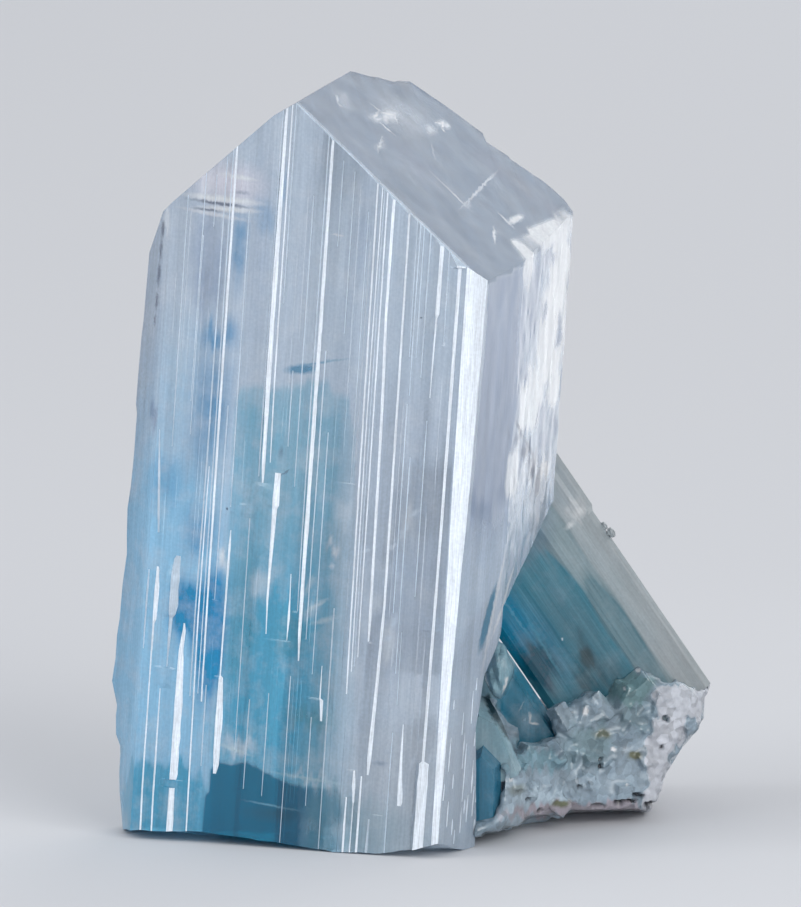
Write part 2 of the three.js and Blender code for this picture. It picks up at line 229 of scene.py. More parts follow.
# Each growth step: its finish, then height, place across and width down its length; 0 is a break.
STEPS = [
    (PALE, [(20.6, -6.4, .05), (18, -6.22, .12), (15.2, -6.06, .1)]),
    (PALE, [(13.2, -6.45, .06), (12.4, -6.45, .1), (9, -6.48, .05)]),
    (WHITE, [(13.4, -6.12, .12), (13.2, -6.15, .2), (11.9, -6.12, .26), (10.6, -6.14, .2),
             (10.4, -6.12, .1), (7.5, -6.1, .06), (3, -6.02, .08), (-1, -5.92, .1)]),
    (WHITE, [(7, -5.42, .05), (3, -5.38, .09), (-1, -5.3, .08)]),
    (PALE, [(14.1, -4.84, .3), (13.9, -4.88, .46), (11.4, -5.02, .48), (11, -5.1, .4),
            (10.8, -5.2, .2), (8.2, -5.45, .05)]),
    (WHITE, [(10.6, -4.25, .1), (10.2, -4.23, .2), (9, -4.33, .25), (8, -4.43, .36), (6.4, -4.47, .42),
             (2.6, -4.44, .43), (2.3, -4.48, .36), (2.25, -4.5, 0), (1.9, -4.52, 0), (1.85, -4.52, .3),
             (-1, -4.5, .36)]),
    (PALE, [(35.3, -3.62, .06), (20, -3.6, .07), (11, -3.68, .07), (6.8, -3.66, .05)]),
    (WHITE, [(19, -3.46, .05), (11, -3.5, .07), (-1, -3.33, .08)]),
    (PALE, [(36, -3.3, .05), (26, -3.27, .06), (7, -3.22, .05)]),
    (WHITE, [(36.2, -3.11, .1), (26, -3.09, .13), (13, -3.04, .1), (6.6, -2.99, .08)]),
    (PALE, [(32.6, -2.2, .04), (24, -2.15, .05), (17, -2.1, .04)]),
    (WHITE, [(15.8, -2.0, .05), (15, -2.0, .12), (13.8, -2.0, .1), (8.1, -2.03, .07), (8, -2.1, .22),
             (6, -2.13, .38), (3.4, -2.15, .36), (2.9, -2.2, .2)]),
    (PALE, [(38.2, -.68, .06), (20, -.65, .06), (18.8, -.64, .05)]),
    (WHITE, [(38.4, -.47, .14), (30, -.47, .24), (24, -.45, .24), (19, -.4, .17), (18.5, -.4, .1)]),
    (WHITE, [(38.6, -.17, .07), (24, -.12, .07), (19.6, -.05, .05)]),
    (PALE, [(38.7, .04, .05), (28, .07, .04)]),
    (WHITE, [(19.1, .43, .4), (17.4, .45, .36), (17.2, .4, .26), (14.5, .36, .16), (12.4, .33, .1),
             (10.6, .38, .05)]),
    (WHITE, [(13.9, 1.55, .04), (12.6, 1.58, .06), (11.6, 1.6, .12), (10.4, 1.57, .04)]),
    (PALE, [(37.7, 1.94, .06), (25, 1.96, .06), (12, 2.05, .05)]),
    (WHITE, [(37.7, 2.14, .14), (30, 2.14, .18), (24, 2.2, .2), (16, 2.25, .22), (11, 2.27, .16),
             (9.4, 2.3, .08)]),
    (WHITE, [(9.3, 3.6, .04), (7.6, 3.64, .07), (7.5, 3.76, .2), (6.4, 3.8, .12)]),
    (WHITE, [(36, 4.88, .08), (20, 5.0, .09), (8, 5.12, .07)]),
    (WHITE, [(36, 5.1, .05), (20, 5.2, .06), (9.2, 5.3, .05)]),
    (PALE, [(36, 5.28, .05), (20, 5.37, .05), (9.5, 5.44, .04)]),
    (WHITE, [(2.6, 5.36, .08), (-1, 5.4, .12)]),
    (WHITE, [(36, 5.46, .07), (20, 5.55, .07), (10, 5.6, .05)]),
    (WHITE, [(36, 5.86, .17), (28, 5.85, .14), (24, 5.98, .15), (20, 6.05, .13), (12, 6.15, .15),
             (10.9, 6.15, .08), (10.8, 6.15, 0), (4.1, 5.86, 0), (4, 5.86, .1), (3.2, 5.9, .17),
             (2.4, 5.93, .1), (2.3, 5.92, .05), (-1, 5.9, .06)]),
    (WHITE, [(3.8, 6.28, .1), (-1, 6.28, .13)]),
    (WHITE, [(36, 6.74, .09), (24, 6.83, .11), (13, 6.9, .13), (9, 6.8, .16), (5, 6.67, .24),
             (3.9, 6.62, .12)]),
    (PALE, [(1.6, 6.86, .1), (-1, 6.82, .14)]),
    (PALE, [(36, 7.22, .05), (26, 7.3, .04)]),
    (PALE, [(36, 7.4, .06), (24, 7.45, .05)]),
    (PALE, [(36, 7.62, .05), (26, 7.68, .04)]),
    (WHITE, [(6.8, 8.4, .05), (4.5, 8.4, .16), (2.7, 8.38, .34), (2.5, 8.34, .26)]),
    (WHITE, [(36, 8.7, .16), (32, 8.72, .22), (28.4, 8.7, .2), (28.2, 8.66, .08), (24, 8.6, .05)]),
    (PALE, [(36, 9.1, .05), (27, 9.15, .04)]),
    (WHITE, [(36, 9.9, .5), (30.98, 9.9, .5), (30.9, 9.78, .18), (18, 9.76, .15), (5, 9.67, .16),
             (4.9, 9.76, .54), (-1, 9.74, .54)]),
]
STEP_SLIM = 0.85             # share of its listed width that a step has
FINE_TRIES = 900
FINE_MOST = 60
FINE_SEED = 11
FINE_AREAS = [(-6.3, -2.3, .2), (-1.9, 4.6, .2), (4.6, 9.5, .6)]  # from, to, share of the fine steps
FINE_WIDTH = (0.04, 0.07)
FINE_DRIFT = 0.004           # how far a fine step moves across for each mm of its length
FINE_PALE = 0.35             # share of the fine steps that are half frosted
FINE_KEEP = 0.13             # least distance from a fine step to another at the same height
STEP_FADE = 1.4              # length over which a step's depth dies away at its ends
COLUMN_ROOM = 0.025          # least distance between two columns


def wave(*where, size=1.0, seed=0.0):
    """Smooth random number from -1 to 1 that changes over about the given size."""
    return noise.noise(Vector([w / size for w in where] + [0.0] * (3 - len(where))) + Vector((seed,) * 3))


def fine_steps():
    """Short hair-thin steps between the others, most of them on the right half."""
    dice = random.Random(FINE_SEED)
    taken = [[p for p in run if p[2]] for finish, run in STEPS]
    made = []
    for number in range(FINE_TRIES):
        low, high, share = dice.choices(FINE_AREAS, [area[2] for area in FINE_AREAS])[0]
        place = dice.uniform(low, high)
        top = dice.uniform(6, 36)
        bottom = max(-1, top - dice.uniform(3, 16))
        near = [run for run in taken if run[0][0] > bottom and run[-1][0] < top
                and min(abs(place - x) for z, x, w in run) < FINE_KEEP + max(w for z, x, w in run) / 2]
        if near or len(made) >= FINE_MOST:
            continue
        width = dice.uniform(*FINE_WIDTH)
        run = [(top, place, width), (bottom, place + FINE_DRIFT * (top - bottom), width * 0.7)]
        taken.append(run)
        made.append((PALE if dice.random() < FINE_PALE else FINE, run))
    return made


def step_at(run, z):
    """Place, width and share of full depth of a step at a height; no width where it isn't there."""
    heights = [p[0] for p in run][::-1]
    place = np.interp(z, heights, [p[1] for p in run][::-1])
    width = np.interp(z, heights, [p[2] for p in run][::-1])
    width *= STEP_SLIM + 0.12 * wave(z, run[0][1] * 9, size=0.7, seed=2.5)
    if not heights[0] <= z <= heights[-1] or not width:
        return place, 0.0, 0.0
    fade = min(z - heights[0] if heights[0] > 0 else STEP_FADE, heights[-1] - z, STEP_FADE) / STEP_FADE
    return place, float(width), max(fade * fade * (3 - 2 * fade), 0.01)


def along(pairs, z):
    """The value at a place, between listed pairs of place and value."""
    return float(np.interp(z, [p[0] for p in pairs], [p[1] for p in pairs]))


def densified(points, step):
    """An open line with extra points so that none of its stretches is longer than the step."""
    made = []
    for a, b in zip(points, points[1:]):
        count = max(1, math.ceil(math.dist(a, b) / step))
        made += [tuple(p + (q - p) * i / count for p, q in zip(a, b)) for i in range(count)]
    return made + [points[-1]]


def mean_place(step):
    return np.mean([across for height, across, width in step[1] if width])


all_steps = sorted(STEPS + fine_steps(), key=mean_place)
rows = set(np.arange(TALL_HEIGHTS[0], TALL_HEIGHTS[1] + ROW_STEP, ROW_STEP).round(3))
for finish, run in STEPS:
    rows |= {p[0] for p in run}
rows = sorted(rows)
rows = [z for z, above in zip(rows, rows[1:] + [math.inf]) if above - z > ROW_LEAST]

means = [BROAD_LEFT] + [mean_place(step) for step in all_steps] + [BAND_LEFT[0][1]]
gap_columns = [max(0, math.ceil((right - left) / COLUMN_STEP) - 1)  # plain columns between two steps
               for left, right in zip(means, means[1:])]


def broad_row(z):
    """One row of the broad face, as points across and in, and how wide each step is there."""
    spans = []
    for finish, run in all_steps:
        place, width, share = step_at(run, z)
        half = max(width, COLUMN_ROOM) / 2
        spans.append([place - half, place + half, width, width * share * STEP_SLOPE])
    end = along(BAND_LEFT, z) - 2 * COLUMN_ROOM
    # Steps that aren't there at this height squeeze in between the ones that are.
    for order in (1, -1):
        limit = BROAD_LEFT + COLUMN_ROOM if order == 1 else end
        for span in spans[::order]:
            near, far = (0, 1) if order == 1 else (1, 0)
            if (span[near] - limit) * order < 0:
                move = limit - span[near]
                span[0] += move
                span[1] += move
            limit = span[far] + order * COLUMN_ROOM
    line = [(BROAD_LEFT, 0.0)]
    for left, right, width, deep in spans:
        if width:
            line += [(left, -deep), (right, 0.0)]
    line.append((end, 0.0))
    xs = []
    last = BROAD_LEFT
    for (left, right, *rest), count in zip(spans + [[end, end]], gap_columns):
        xs += [last + (left - last) * (i + 1) / (count + 1) for i in range(count)]
        xs += [left, right]
        last = right
    xs = xs[:-1]
    ys = np.interp(xs, [p[0] for p in line], [p[1] for p in line])
    # The flat parts between the steps swell and dip a little, most of all along the prism.
    relief = [0.012 * wave(x, z, size=1.3) + 0.006 * wave(x, z * 0.15, size=0.3) for x in xs]
    return list(zip(xs, ys + relief)), [s[2] for s in spans]


def ribbed(points, z, deep):
    """Points of a side outline, moved in and out by fine growth ribs that run along the crystal."""
    made = []
    for i, (x, y) in enumerate(points):
        a = points[max(i - 1, 0)]
        b = points[min(i + 1, len(points) - 1)]
        out_way = Vector((b[1] - a[1], a[0] - b[0])).normalized()
        rib = wave(i * 0.37, z * 0.06, seed=3.1) + 0.6 * wave(i * 0.9, z * 0.02, seed=7.7)
        made.append((x + out_way.x * rib * deep, y + out_way.y * rib * deep))
    return made


def etched(y, z):
    """Relief of the etched right-hand face: shallow shelves and pits drawn out along the prism."""
    shelf = wave(y * 1.3, z * 0.45, size=1.1, seed=2.0)
    pits = wave(y * 3.0, z * 1.1, size=1.0, seed=5.0)
    return 0.07 * shelf + 0.03 * pits + 0.03 * (abs(wave(y * 2, z * .8, seed=9)) - 0.3)


SIDE_COLUMNS = 34
GLINT_LEAST = 0.12           # share of a column that is left where no glint stands in it
SIDE_GLINTS = [  # column and the heights that a glinting growth face runs between
    (3, 4.4, 6.1), (5, 1.4, 2.9), (1, 2.9, 3.9), (15, 2.6, 5.8), (13, 4.4, 6.4), (17, 6.7, 8.5),
    (19, 8.3, 9.1), (23, 5.0, 6.6), (23, 1.7, 3.4), (21, 3.0, 4.6), (19, 1.5, 3.0), (15, .9, 2.4),
    (17, 2.0, 2.8), (25, 2.4, 4.4), (9, 1.0, 1.9), (7, 3.4, 4.2), (11, 6.2, 7.4), (3, 7.6, 8.3),
    (21, 5.4, 6.1), (11, .5, 1.3), (25, .7, 1.6),
]
SIDE_CELL = 0.22
BACK_CELL = 0.35
BACK_RIB = 0.05
REAR_PARTS = 7
BEVEL_POINTS = 12


def side_shares(z):
    """Where the columns of the plain right-hand face stand, as shares of its width."""
    shares = [i / SIDE_COLUMNS for i in range(SIDE_COLUMNS)]
    reach = dict.fromkeys((row[0] for row in SIDE_GLINTS), 0.0)
    for column, low, high in SIDE_GLINTS:
        off = (2 * z - low - high) / (high - low)
        if abs(off) < 1:
            reach[column] = math.sqrt(1 - off * off) * (0.75 + 0.5 * wave(z * 1.5, column, seed=17))
    for column, open_by in reach.items():
        centre = (column + 0.5) / SIDE_COLUMNS
        half = max(0.5 * open_by, GLINT_LEAST) / SIDE_COLUMNS
        shares[column], shares[column + 1] = centre - half, centre + half
    return shares


def side_row(z):
    """The rest of a row, from the band round the back to the left bevel."""
    left, right = along(BAND_LEFT, z), along(BAND_RIGHT, z)
    band_end = (right, BAND_GAP_DEPTH + (right - left) * BAND_SLOPE)
    band = densified([(left, BAND_GAP_DEPTH), band_end], BAND_CELL)[:-1]
    # The band has the same number of columns at every height, crowded at its right where it is narrow.
    band = band[:1] + band[1:][1 - BAND_COLUMNS:]
    while len(band) < BAND_COLUMNS:
        band.append(tuple((p + q) / 2 for p, q in zip(band[-1], band_end)))
    mid = [tuple(p + (q - p) * share for p, q in zip(band_end, MID_CORNER)) for share in side_shares(z)]
    mid = [(x + 0.02 * wave(y, z * .5, size=.8, seed=1), y) for x, y in mid]
    etch = [(x + etched(y, z), y) for x, y in densified([MID_CORNER, BACK_OUTLINE[0]], SIDE_CELL)]
    rear = ribbed(densified(BACK_OUTLINE, BACK_CELL)[1:], z, BACK_RIB)
    edge = (along(LEFT_EDGE, z) - BEVEL_DEEP * SIGHT_SLANT, BEVEL_DEEP)
    rear_end = [tuple(p + (q - p) * i / REAR_PARTS for p, q in zip(rear[-1], edge))
                for i in range(1, REAR_PARTS)]
    bevel = [(edge[0] + (BROAD_LEFT - edge[0]) * t, edge[1] * (1 - t))
             for t in np.linspace(0, 1, BEVEL_POINTS)]
    bevel = [(x, y + 0.03 * wave(x * 2, z * .3, seed=4)) for x, y in bevel]
    return band + mid + etch + rear + rear_end + bevel


def grid_solid(rings, finish_of):
    """A closed solid from rings of points, one above another, with flat ends."""
    count = len(rings[0])
    points = [p for ring in rings for p in ring]
    body = bmesh.new()
    corners = [body.verts.new([c * MM for c in p]) for p in points]
    for j in range(len(rings) - 1):
        for i in range(count):
            k = (i + 1) % count
            a, b = j * count, (j + 1) * count
            face = body.faces.new([corners[a + i], corners[a + k], corners[b + k], corners[b + i]])
            face.material_index = finish_of(j, i)
    body.faces.new(corners[:count][::-1])
    body.faces.new(corners[-count:])
    return body


def slice_off(body, point, normal, finish=FINE):
    """Cuts a solid with a plane, takes off what its normal points to and closes the cut."""
    everything = body.verts[:] + body.edges[:] + body.faces[:]
    cut = bmesh.ops.bisect_plane(body, geom=everything, dist=1e-8, plane_co=Vector(point) * MM,
                                 plane_no=Vector(normal).normalized(), clear_outer=True)
    rim = [e for e in cut["geom_cut"] if isinstance(e, bmesh.types.BMEdge)]
    rim = [e for e in rim if e.is_valid and e.is_boundary]
    made = bmesh.ops.contextual_create(body, geom=rim)
    for face in made["faces"]:
        face.material_index = finish


broad_rows = [broad_row(z) for z in rows]
rings = [[(x, y, z) for x, y in front + side_row(z)] for z, (front, widths) in zip(rows, broad_rows)]
column_step = {}             # number of the step whose sloping face is in a column
column = 0
for number, count in enumerate(gap_columns[:-1]):
    column += count
    column_step[column] = number
    column += 2
front_count = len(broad_rows[0][0])
BAND_FACES = range(front_count, front_count + BAND_COLUMNS)


def tall_finish(j, i):
    """Finish of the face in row j and column i of the tall prism's side."""
    if i in BAND_FACES:
        return WHITE
    column = i - BAND_FACES.stop
    if any(column == k and low < rows[j] < high for k, low, high in SIDE_GLINTS):
        return WHITE
    number = column_step.get(i)
    if number is None or not (broad_rows[j][1][number] and broad_rows[j + 1][1][number]):
        return FINE
    return all_steps[number][0]


tall = grid_solid(rings, tall_finish)
for point, normal in (((0, 0, RIDGE_FRONT), ROOF_RIGHT), (ROOF_LEFT_BREAK, ROOF_LEFT),
                      (ROOF_LEFT_BREAK, ROOF_LEFT_TOP), (SHOULDER_AT, SHOULDER)):
    slice_off(tall, point, normal)
slice_off(tall, (0, 0, RIDGE_FRONT - EDGE_WEAR), EDGE_FACET, PALE)

ROOF_CELL = 0.3              # spacing of the points that carry the roof's relief
ROOF_RELIEF = 0.035
SAME_WAY = 0.999             # how alike two directions are that count as one


def roof_relief(body, normal):
    """Parts a roof face into small cells and gives it a shallow uneven growth relief."""
    way = Vector(normal).normalized()
    across = way.cross(Vector((0, 1, 0))).normalized()
    inward = way.cross(across)
    found = [f for f in body.faces if f.normal.dot(way) > SAME_WAY]
    for axis in (across, inward):
        spots = [v.co.dot(axis) for f in found for v in f.verts]
        place = min(spots) + ROOF_CELL * MM
        while place < max(spots):
            geom = list({part for f in found for part in (*f.verts, *f.edges)}) + found
            made = bmesh.ops.bisect_plane(body, geom=geom, dist=1e-8, plane_co=axis * place, plane_no=axis)
            found = [f for f in made["geom"] if isinstance(f, bmesh.types.BMFace) and f.is_valid]
            place += ROOF_CELL * MM
    for v in {v for f in found for v in f.verts}:
        if all(f.normal.dot(way) > SAME_WAY for f in v.link_faces):
            at = v.co / MM
            rise = wave(at.x, at.y, size=1.6, seed=21) + 0.5 * wave(at.x, at.y, size=0.5, seed=22)
            v.co += way * rise * ROOF_RELIEF * MM


roof_relief(tall, ROOF_RIGHT)
roof_relief(tall, ROOF_LEFT)


def turn(angle, axis):
    return Matrix.Rotation(math.radians(angle), 4, axis)


# The back end of the prism's ridge is the highest point of the solids.
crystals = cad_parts["euclase_crystals"]
peak = max((v.co for v in crystals.data.vertices), key=lambda p: p.z)
upright = turn(TALL_LEAN, "Y") @ turn(-TALL_YAW, "Z")
tall_place = Matrix.Translation(peak - upright @ RIDGE_BACK) @ upright
foot_origin = tall_place @ Vector((TALL_FOOT_X * MM, 0, 0))


def piece_from(body, name, place):
    """A mesh object from a bmesh, standing in the group at its place."""
    mesh = bpy.data.meshes.new(name)
    bmesh.ops.recalc_face_normals(body, faces=body.faces)
    body.to_mesh(mesh)
    body.free()
    piece = bpy.data.objects.new(name, mesh)
    scene.collection.objects.link(piece)
    piece.matrix_world = place
    return piece


def apply_modifiers(piece):
    bpy.context.view_layer.update()
    made = bpy.data.meshes.new_from_object(piece.evaluated_get(bpy.context.evaluated_depsgraph_get()))
    piece.modifiers.clear()
    piece.data = made


def combine(piece, others, operation="DIFFERENCE"):
    """Cuts a piece by other solids, or joins them to it. The others are used up."""
    for other in others:
        step = piece.modifiers.new("cut", "BOOLEAN")
        step.operation = operation
        step.solver = "MANIFOLD"
        step.object = other
    apply_modifiers(piece)
    for other in others:
        bpy.data.objects.remove(other)
    return piece


def without_chips(piece, least):
    """Takes away loose chips that a cut has left, those of fewer faces than the least."""
    body = bmesh.new()
    body.from_mesh(piece.data)
    body.faces.ensure_lookup_table()
    seen = set()
    for first in body.faces:
        if first.index in seen:
            continue
        part = {first}
        to_visit = [first]
        while to_visit:
            for side in to_visit.pop().edges:
                for face in side.link_faces:
                    if face not in part:
                        part.add(face)
                        to_visit.append(face)
        seen |= {face.index for face in part}
        if len(part) < least:
            for face in part:
                face.tag = True
    bmesh.ops.delete(body, geom=[f for f in body.faces if f.tag], context="FACES")
    body.to_mesh(piece.data)
    body.free()
    return piece


def coated(piece, *coats):
    """Gives a piece its materials, in the order of their numbers in the mesh."""
    slots = piece.data.materials
    for number, coat in enumerate(coats):
        if number < len(slots):
            slots[number] = coat
        else:
            slots.append(coat)


def extruded(outline, low, high, axes=(0, 1, 2)):
    """A straight solid from an outline; axes are those of the outline's two sides and its length."""
    rings = []
    for end in (low, high):
        ring = [dict(zip(axes, (a, b, end))) for a, b in outline]
        rings.append([[spot[axis] for axis in range(3)] for spot in ring])
    body = grid_solid(rings, lambda j, i: 0)
    bmesh.ops.recalc_face_normals(body, faces=body.faces)
    return body


UNDERCUT = [(4.5, -10), (4.4, 1.5), (3.6, 6.5), (4.1, 9.2), (5.9, 11.3), (30, 26), (30, -10)]
UNDERCUT_ACROSS = (5.2, 26)
RIM_BEVEL_AT = (10.95, 9.3, 14.7)
RIM_BEVEL = (0.8, 0.37, -0.51)
RIM_BEVEL_BOX = [(9, 5.9), (14, 5.9), (14, 16), (9, 16)]
RIM_BEVEL_HEIGHTS = (10, 20)


def undercut(shift=0.0):
    """What the hollow low on the right side takes off, all round a little less by the shift."""
    outline = [(y + shift, z - shift) for y, z in UNDERCUT]
    left, right = UNDERCUT_ACROSS
    return piece_from(extruded(outline, left + shift, right, (1, 2, 0)), "undercut", tall_place)


def rim_bevel(shift=0.0):
    """What the narrow facet along the undercut's rim takes off."""
    body = extruded(RIM_BEVEL_BOX, *RIM_BEVEL_HEIGHTS)
    slice_off(body, [c + shift for c in RIM_BEVEL_AT], [-c for c in RIM_BEVEL])
    return piece_from(body, "bevel", tall_place)


tall_prism = piece_from(tall, "tall_prism", tall_place)

FOOT_RIM = [(-20, .3), (-18.5, .35), (-12.5, .62), (-11, .5), (-8, .26), (-5.4, .03), (-3, .12),
            (-1.2, .5), (0, .85), (0.6, .9), (2, .6), (3, .35), (6, .2), (20, .2)]
FOOT_RIM_RUN = 1.8           # how far in from the front the broken foot comes down to the ground
FOOT_CELL = 0.35


def block(us, vs, top, base):
    """A closed solid between two grids of points; top and base give the point at a place in the grid."""
    body = bmesh.new()
    sheets = []
    for spot in (top, base):
        sheets.append([[body.verts.new([c * MM for c in spot(u, v)]) for v in vs] for u in us])
    for sheet, order in zip(sheets, (1, -1)):
        for one, two in zip(sheet, sheet[1:]):
            for j in range(len(vs) - 1):
                body.faces.new([one[j], two[j], two[j + 1], one[j + 1]][::order])
    last, end = len(us) - 1, len(vs) - 1
    loop = [(i, 0) for i in range(last)] + [(last, j) for j in range(end)]
    loop += [(last - i, end) for i in range(last)] + [(0, end - j) for j in range(end)]
    for (i, j), (k, m) in zip(loop, loop[1:] + loop[:1]):
        body.faces.new([sheets[1][i][j], sheets[1][k][m], sheets[0][k][m], sheets[0][i][j]])
    return body


def foot_rise(x, y):
    """The broken underside of the tall prism: a rough surface that rises at the front rim."""
    rim = along(FOOT_RIM, x)
    front = -SIGHT_SLANT * x if x < 0 else 0.0
    inside = max(0.0, (y - front) / FOOT_RIM_RUN)
    rise = rim * math.exp(-inside * inside) + 0.07 * wave(x, y, size=.9, seed=31)
    return x, y, max(rise, 0.0)


foot_break = block(np.arange(-22, 8, FOOT_CELL), np.arange(-3, 18, FOOT_CELL), foot_rise,
                   lambda x, y: (x, y, -3))
foot_break = piece_from(foot_break, "foot_break", Matrix.Translation(foot_origin))
combine(tall_prism, [undercut(), rim_bevel(), foot_break])

# Zones of colour: place across, height, half width, half height, softness, strength.
TALL_TINTS = [
    ("sky", "98D2F4", [(-6, 9, 4.2, 12, .8, .95), (-5.2, 20, 2.2, 6, .9, .5)]),
    ("rich_teal", "43A9CE", [(.6, 8.5, 3.0, 7, .9, .85), (-4.8, .6, 2.7, 2.7, .15, .75),
                             (-1.2, 2.6, .8, .8, .8, .5), (-.6, 20.5, 1.3, 1.6, .9, .2),
                             (1.9, 16, 1.5, 2.5, .9, .3)]),
    ("sea_green", "4A98AC", [(4.4, 1.2, 1.1, 1.9, .4, .6), (6.6, 1.1, 2.4, 1.7, .7, .5),
                             (-1.1, 11.5, .8, 3.5, .9, .5), (1.9, 10.9, .9, 1.3, .9, .5),
                             (3.2, 6.5, 1.3, .5, .9, .6)]),
    ("lilac_grey", "AEB2C0", [(7.2, 16, 3.0, 8.4, .3, .3), (6.8, 21.5, 3.0, 3.2, .12, .2),
                              (-4.9, 33.1, 2.4, 2.2, .9, .2)]),
    ("smoke", "7E93B4", [(-4.3, 29.6, 1.0, 2.7, .6, .5), (-4.2, 22, .9, 3.4, .8, .3),
                         (-1.4, 31, .6, 5.5, .8, .2), (4.3, 33, .35, 3, .8, .25),
                         (-6.9, 21.2, .35, .8, .5, .6)]),
    ("blue", "0088C0", [(-2.65, 30.6, .45, 1.9, .9, .6), (-1.3, 32.4, .7, .8, .9, .35),
                        (-3.5, 25.9, 1.0, .6, 1.2, .65), (-2.75, 26.1, .4, .9, 1.2, .6),
                        (-3.4, 22, .9, 2.6, 1.2, .6), (-3.7, 15.5, .9, 1.2, 1.2, .6),
                        (-2.7, 10.2, .8, 3.6, .8, 1.0), (-3.9, 11.2, 1.1, 1.6, .9, 1.0),
                        (-5.9, 18, .9, 1.2, .9, .4), (-.35, 34, .14, 1.0, .8, .4)]),
    ("milk", "E6EDF5", [(-4.7, 33.7, .4, .5, .6, .9), (-7.0, 31.6, .3, .6, .6, .9),
                        (-2.3, 14.2, .35, .6, .8, .7), (-.1, 13.1, .6, .8, .9, .5),
                        (7.2, 11, .4, 1.0, .9, .7), (7.5, 4.5, .5, 1.0, .9, .5),
                        (3.8, 15.6, .4, .3, .9, .7), (-.7, 4.5, 1.0, .5, .9, .6),
                        (3.4, 3.4, 1.3, .25, .8, .4), (7.9, 17.3, .3, .9, .9, .6),
                        (6.9, 16.6, .2, .8, .9, .5), (6.4, 13, .5, .5, .9, .5),
                        (4.3, 17.5, .6, .7, .9, .4), (2.8, 12.2, .5, .5, .9, .4),
                        # The last two milk zones, low on the right, are painted light: they lift the foot
                        # out of the shade of the ground, the rock and the leaning prism.
                        (5.5, 9.5, .5, .8, .9, .4), (9, 7, .3, 1.2, .9, .4), (8.4, 3.5, 2.4, 6, .9, .45),
                        (11.1, 4, .5, 6, .5, 1)]),
]
# Upper edges of the teal heart of the prism and of the deep teal pool in its foot, as place across
# and height.
HEART_TOP = [(-2.5, 2), (-2.2, 22.5), (-2.1, 23.3), (-1.3, 23.5), (0, 23.6), (1.6, 23.9), (1.7, 24.3),
             (2.9, 24.25), (3.15, 23.7), (4.1, 23.5), (4.3, 22.5), (4.6, 21.8), (5.3, 12), (6, 2)]
POOL_TOP = [(-2.6, -1), (-2.2, 3.1), (-1.9, 3.6), (-1.1, 3.45), (-.3, 3.75), (.5, 3.5), (1.5, 3.05),
            (3, 2.85), (5, 3.0), (5.25, 2.6), (5.5, -1)]
ETCHED_GLARE = [(10.4, 32, 3.3, 1.0, .5, .75), (6.2, 30.6, .8, 1.3, .4, .95), (12, 30, 1.9, 1.5, .5, .9),
                (11.3, 26.7, 2.5, 2.8, .45, 1.0), (8.2, 23.4, 2.2, 1.8, .45, 1.0),
                (12.3, 23.4, 1.2, .9, .4, .8), (5.9, 19.8, .9, 1.4, .4, .8),
                (8.6, 19.4, 1.6, .7, .5, .5), (11.6, 19.3, .9, .5, .4, .8)]
ETCHED_GREY = [(7.6, 28.6, 1.0, 2.2, .7, .9), (10.6, 22.3, .7, .6, .6, .8), (12.6, 26.6, .5, .9, .6, .8),
               (7.0, 24.6, .9, .5, .6, .7), (9.5, 30.7, 1.5, .4, .6, .8), (11.2, 20.9, .9, .5, .6, .8),
               (9.6, 27.9, .6, .5, .7, .7), (5.6, 26.5, .9, 3.5, .6, .8), (12.9, 21.5, .6, .8, .6, .7)]
ETCHED_CRACK = [(4.6, 22.1, .5, .2, .5, .7), (6.2, 21.5, .9, .25, .5, .8), (7.9, 20.8, .9, .35, .5, .9),
                (9.4, 19.9, .8, .5, .5, .9), (10.7, 18.7, .5, .7, .5, .9)]
ROOF_MILK = [(2.6, 6.6, .25, .8, .8, .9), (2.4, 5.4, .2, .6, .8, .7), (4.2, 10.3, .25, .5, .7, .9),
             (4.1, 8.7, .2, .5, .8, .7), (3, 7.6, 1.3, 1.3, 1, .35), (9.45, 8.2, .1, .8, .5, .9),
             (9.6, 5.1, .08, .6, .6, .7), (7.75, 6.4, .05, 1.2, .4, .5), (1.0, 4.0, .5, .5, 1, .4),
             (3.5, 3.4, .12, .8, .8, .4)]


def zone(across, height, rows_of, fray_by=(0.16, 0.7), drawn_out=0.25):
    """Strength of the strongest of some soft-edged zones with frayed outlines at each point."""
    best = np.zeros_like(across)
    fray = np.array([(wave(x, z * drawn_out, size=0.8, seed=51),
                      wave(x, z * drawn_out / 5, size=0.3, seed=52),
                      wave(x, z, size=1.5, seed=53)) for x, z in zip(across, height)])
    across = across + fray_by[0] * fray[:, 0]
    height = height + fray_by[1] * (fray[:, 1] + 0.5 * fray[:, 2])
    for x, z, half_x, half_z, soft, strength in rows_of:
        far = (abs((across - x) / half_x) ** 2.6 + abs((height - z) / half_z) ** 2.6) ** (1 / 2.6)
        best = np.maximum(best, strength * np.clip((1 - far) / soft + 0.5, 0, 1))
    return best


def write_mask(piece, name, values):
    """Stores a value for each of the piece's points, for its material to read."""
    piece.data.attributes.new(name, "FLOAT", "POINT").data.foreach_set("value", values.astype(np.float32))


def points_of(piece):
    """The piece's points in its own axes, in mm."""
    flat = np.zeros(len(piece.data.vertices) * 3)
    piece.data.vertices.foreach_get("co", flat)
    return flat.reshape(-1, 3) / MM


def crisp(piece, degrees):
    """Smooth faces with crisp edges wherever they meet at more than an angle."""
    piece.data.shade_smooth()
    piece.data.set_sharp_from_angle(angle=math.radians(degrees))


across, deep, height = points_of(tall_prism).T
depth_share = np.clip(1.1 - deep / 9, 0.3, 1)
depth_share[(across > 9.9) & (deep > 0.3)] *= 0.5


def under(top_edge, soft):
    """How far each of the prism's points lies under an edge on its broad face."""
    edge = np.interp(across, [p[0] for p in top_edge], [p[1] for p in top_edge])
    edge += [0.12 * wave(x, size=0.25, seed=61) + 0.1 * wave(x, size=0.9, seed=62) for x in across]
    return np.clip((edge - height) / soft + 0.5, 0, 1) * depth_share


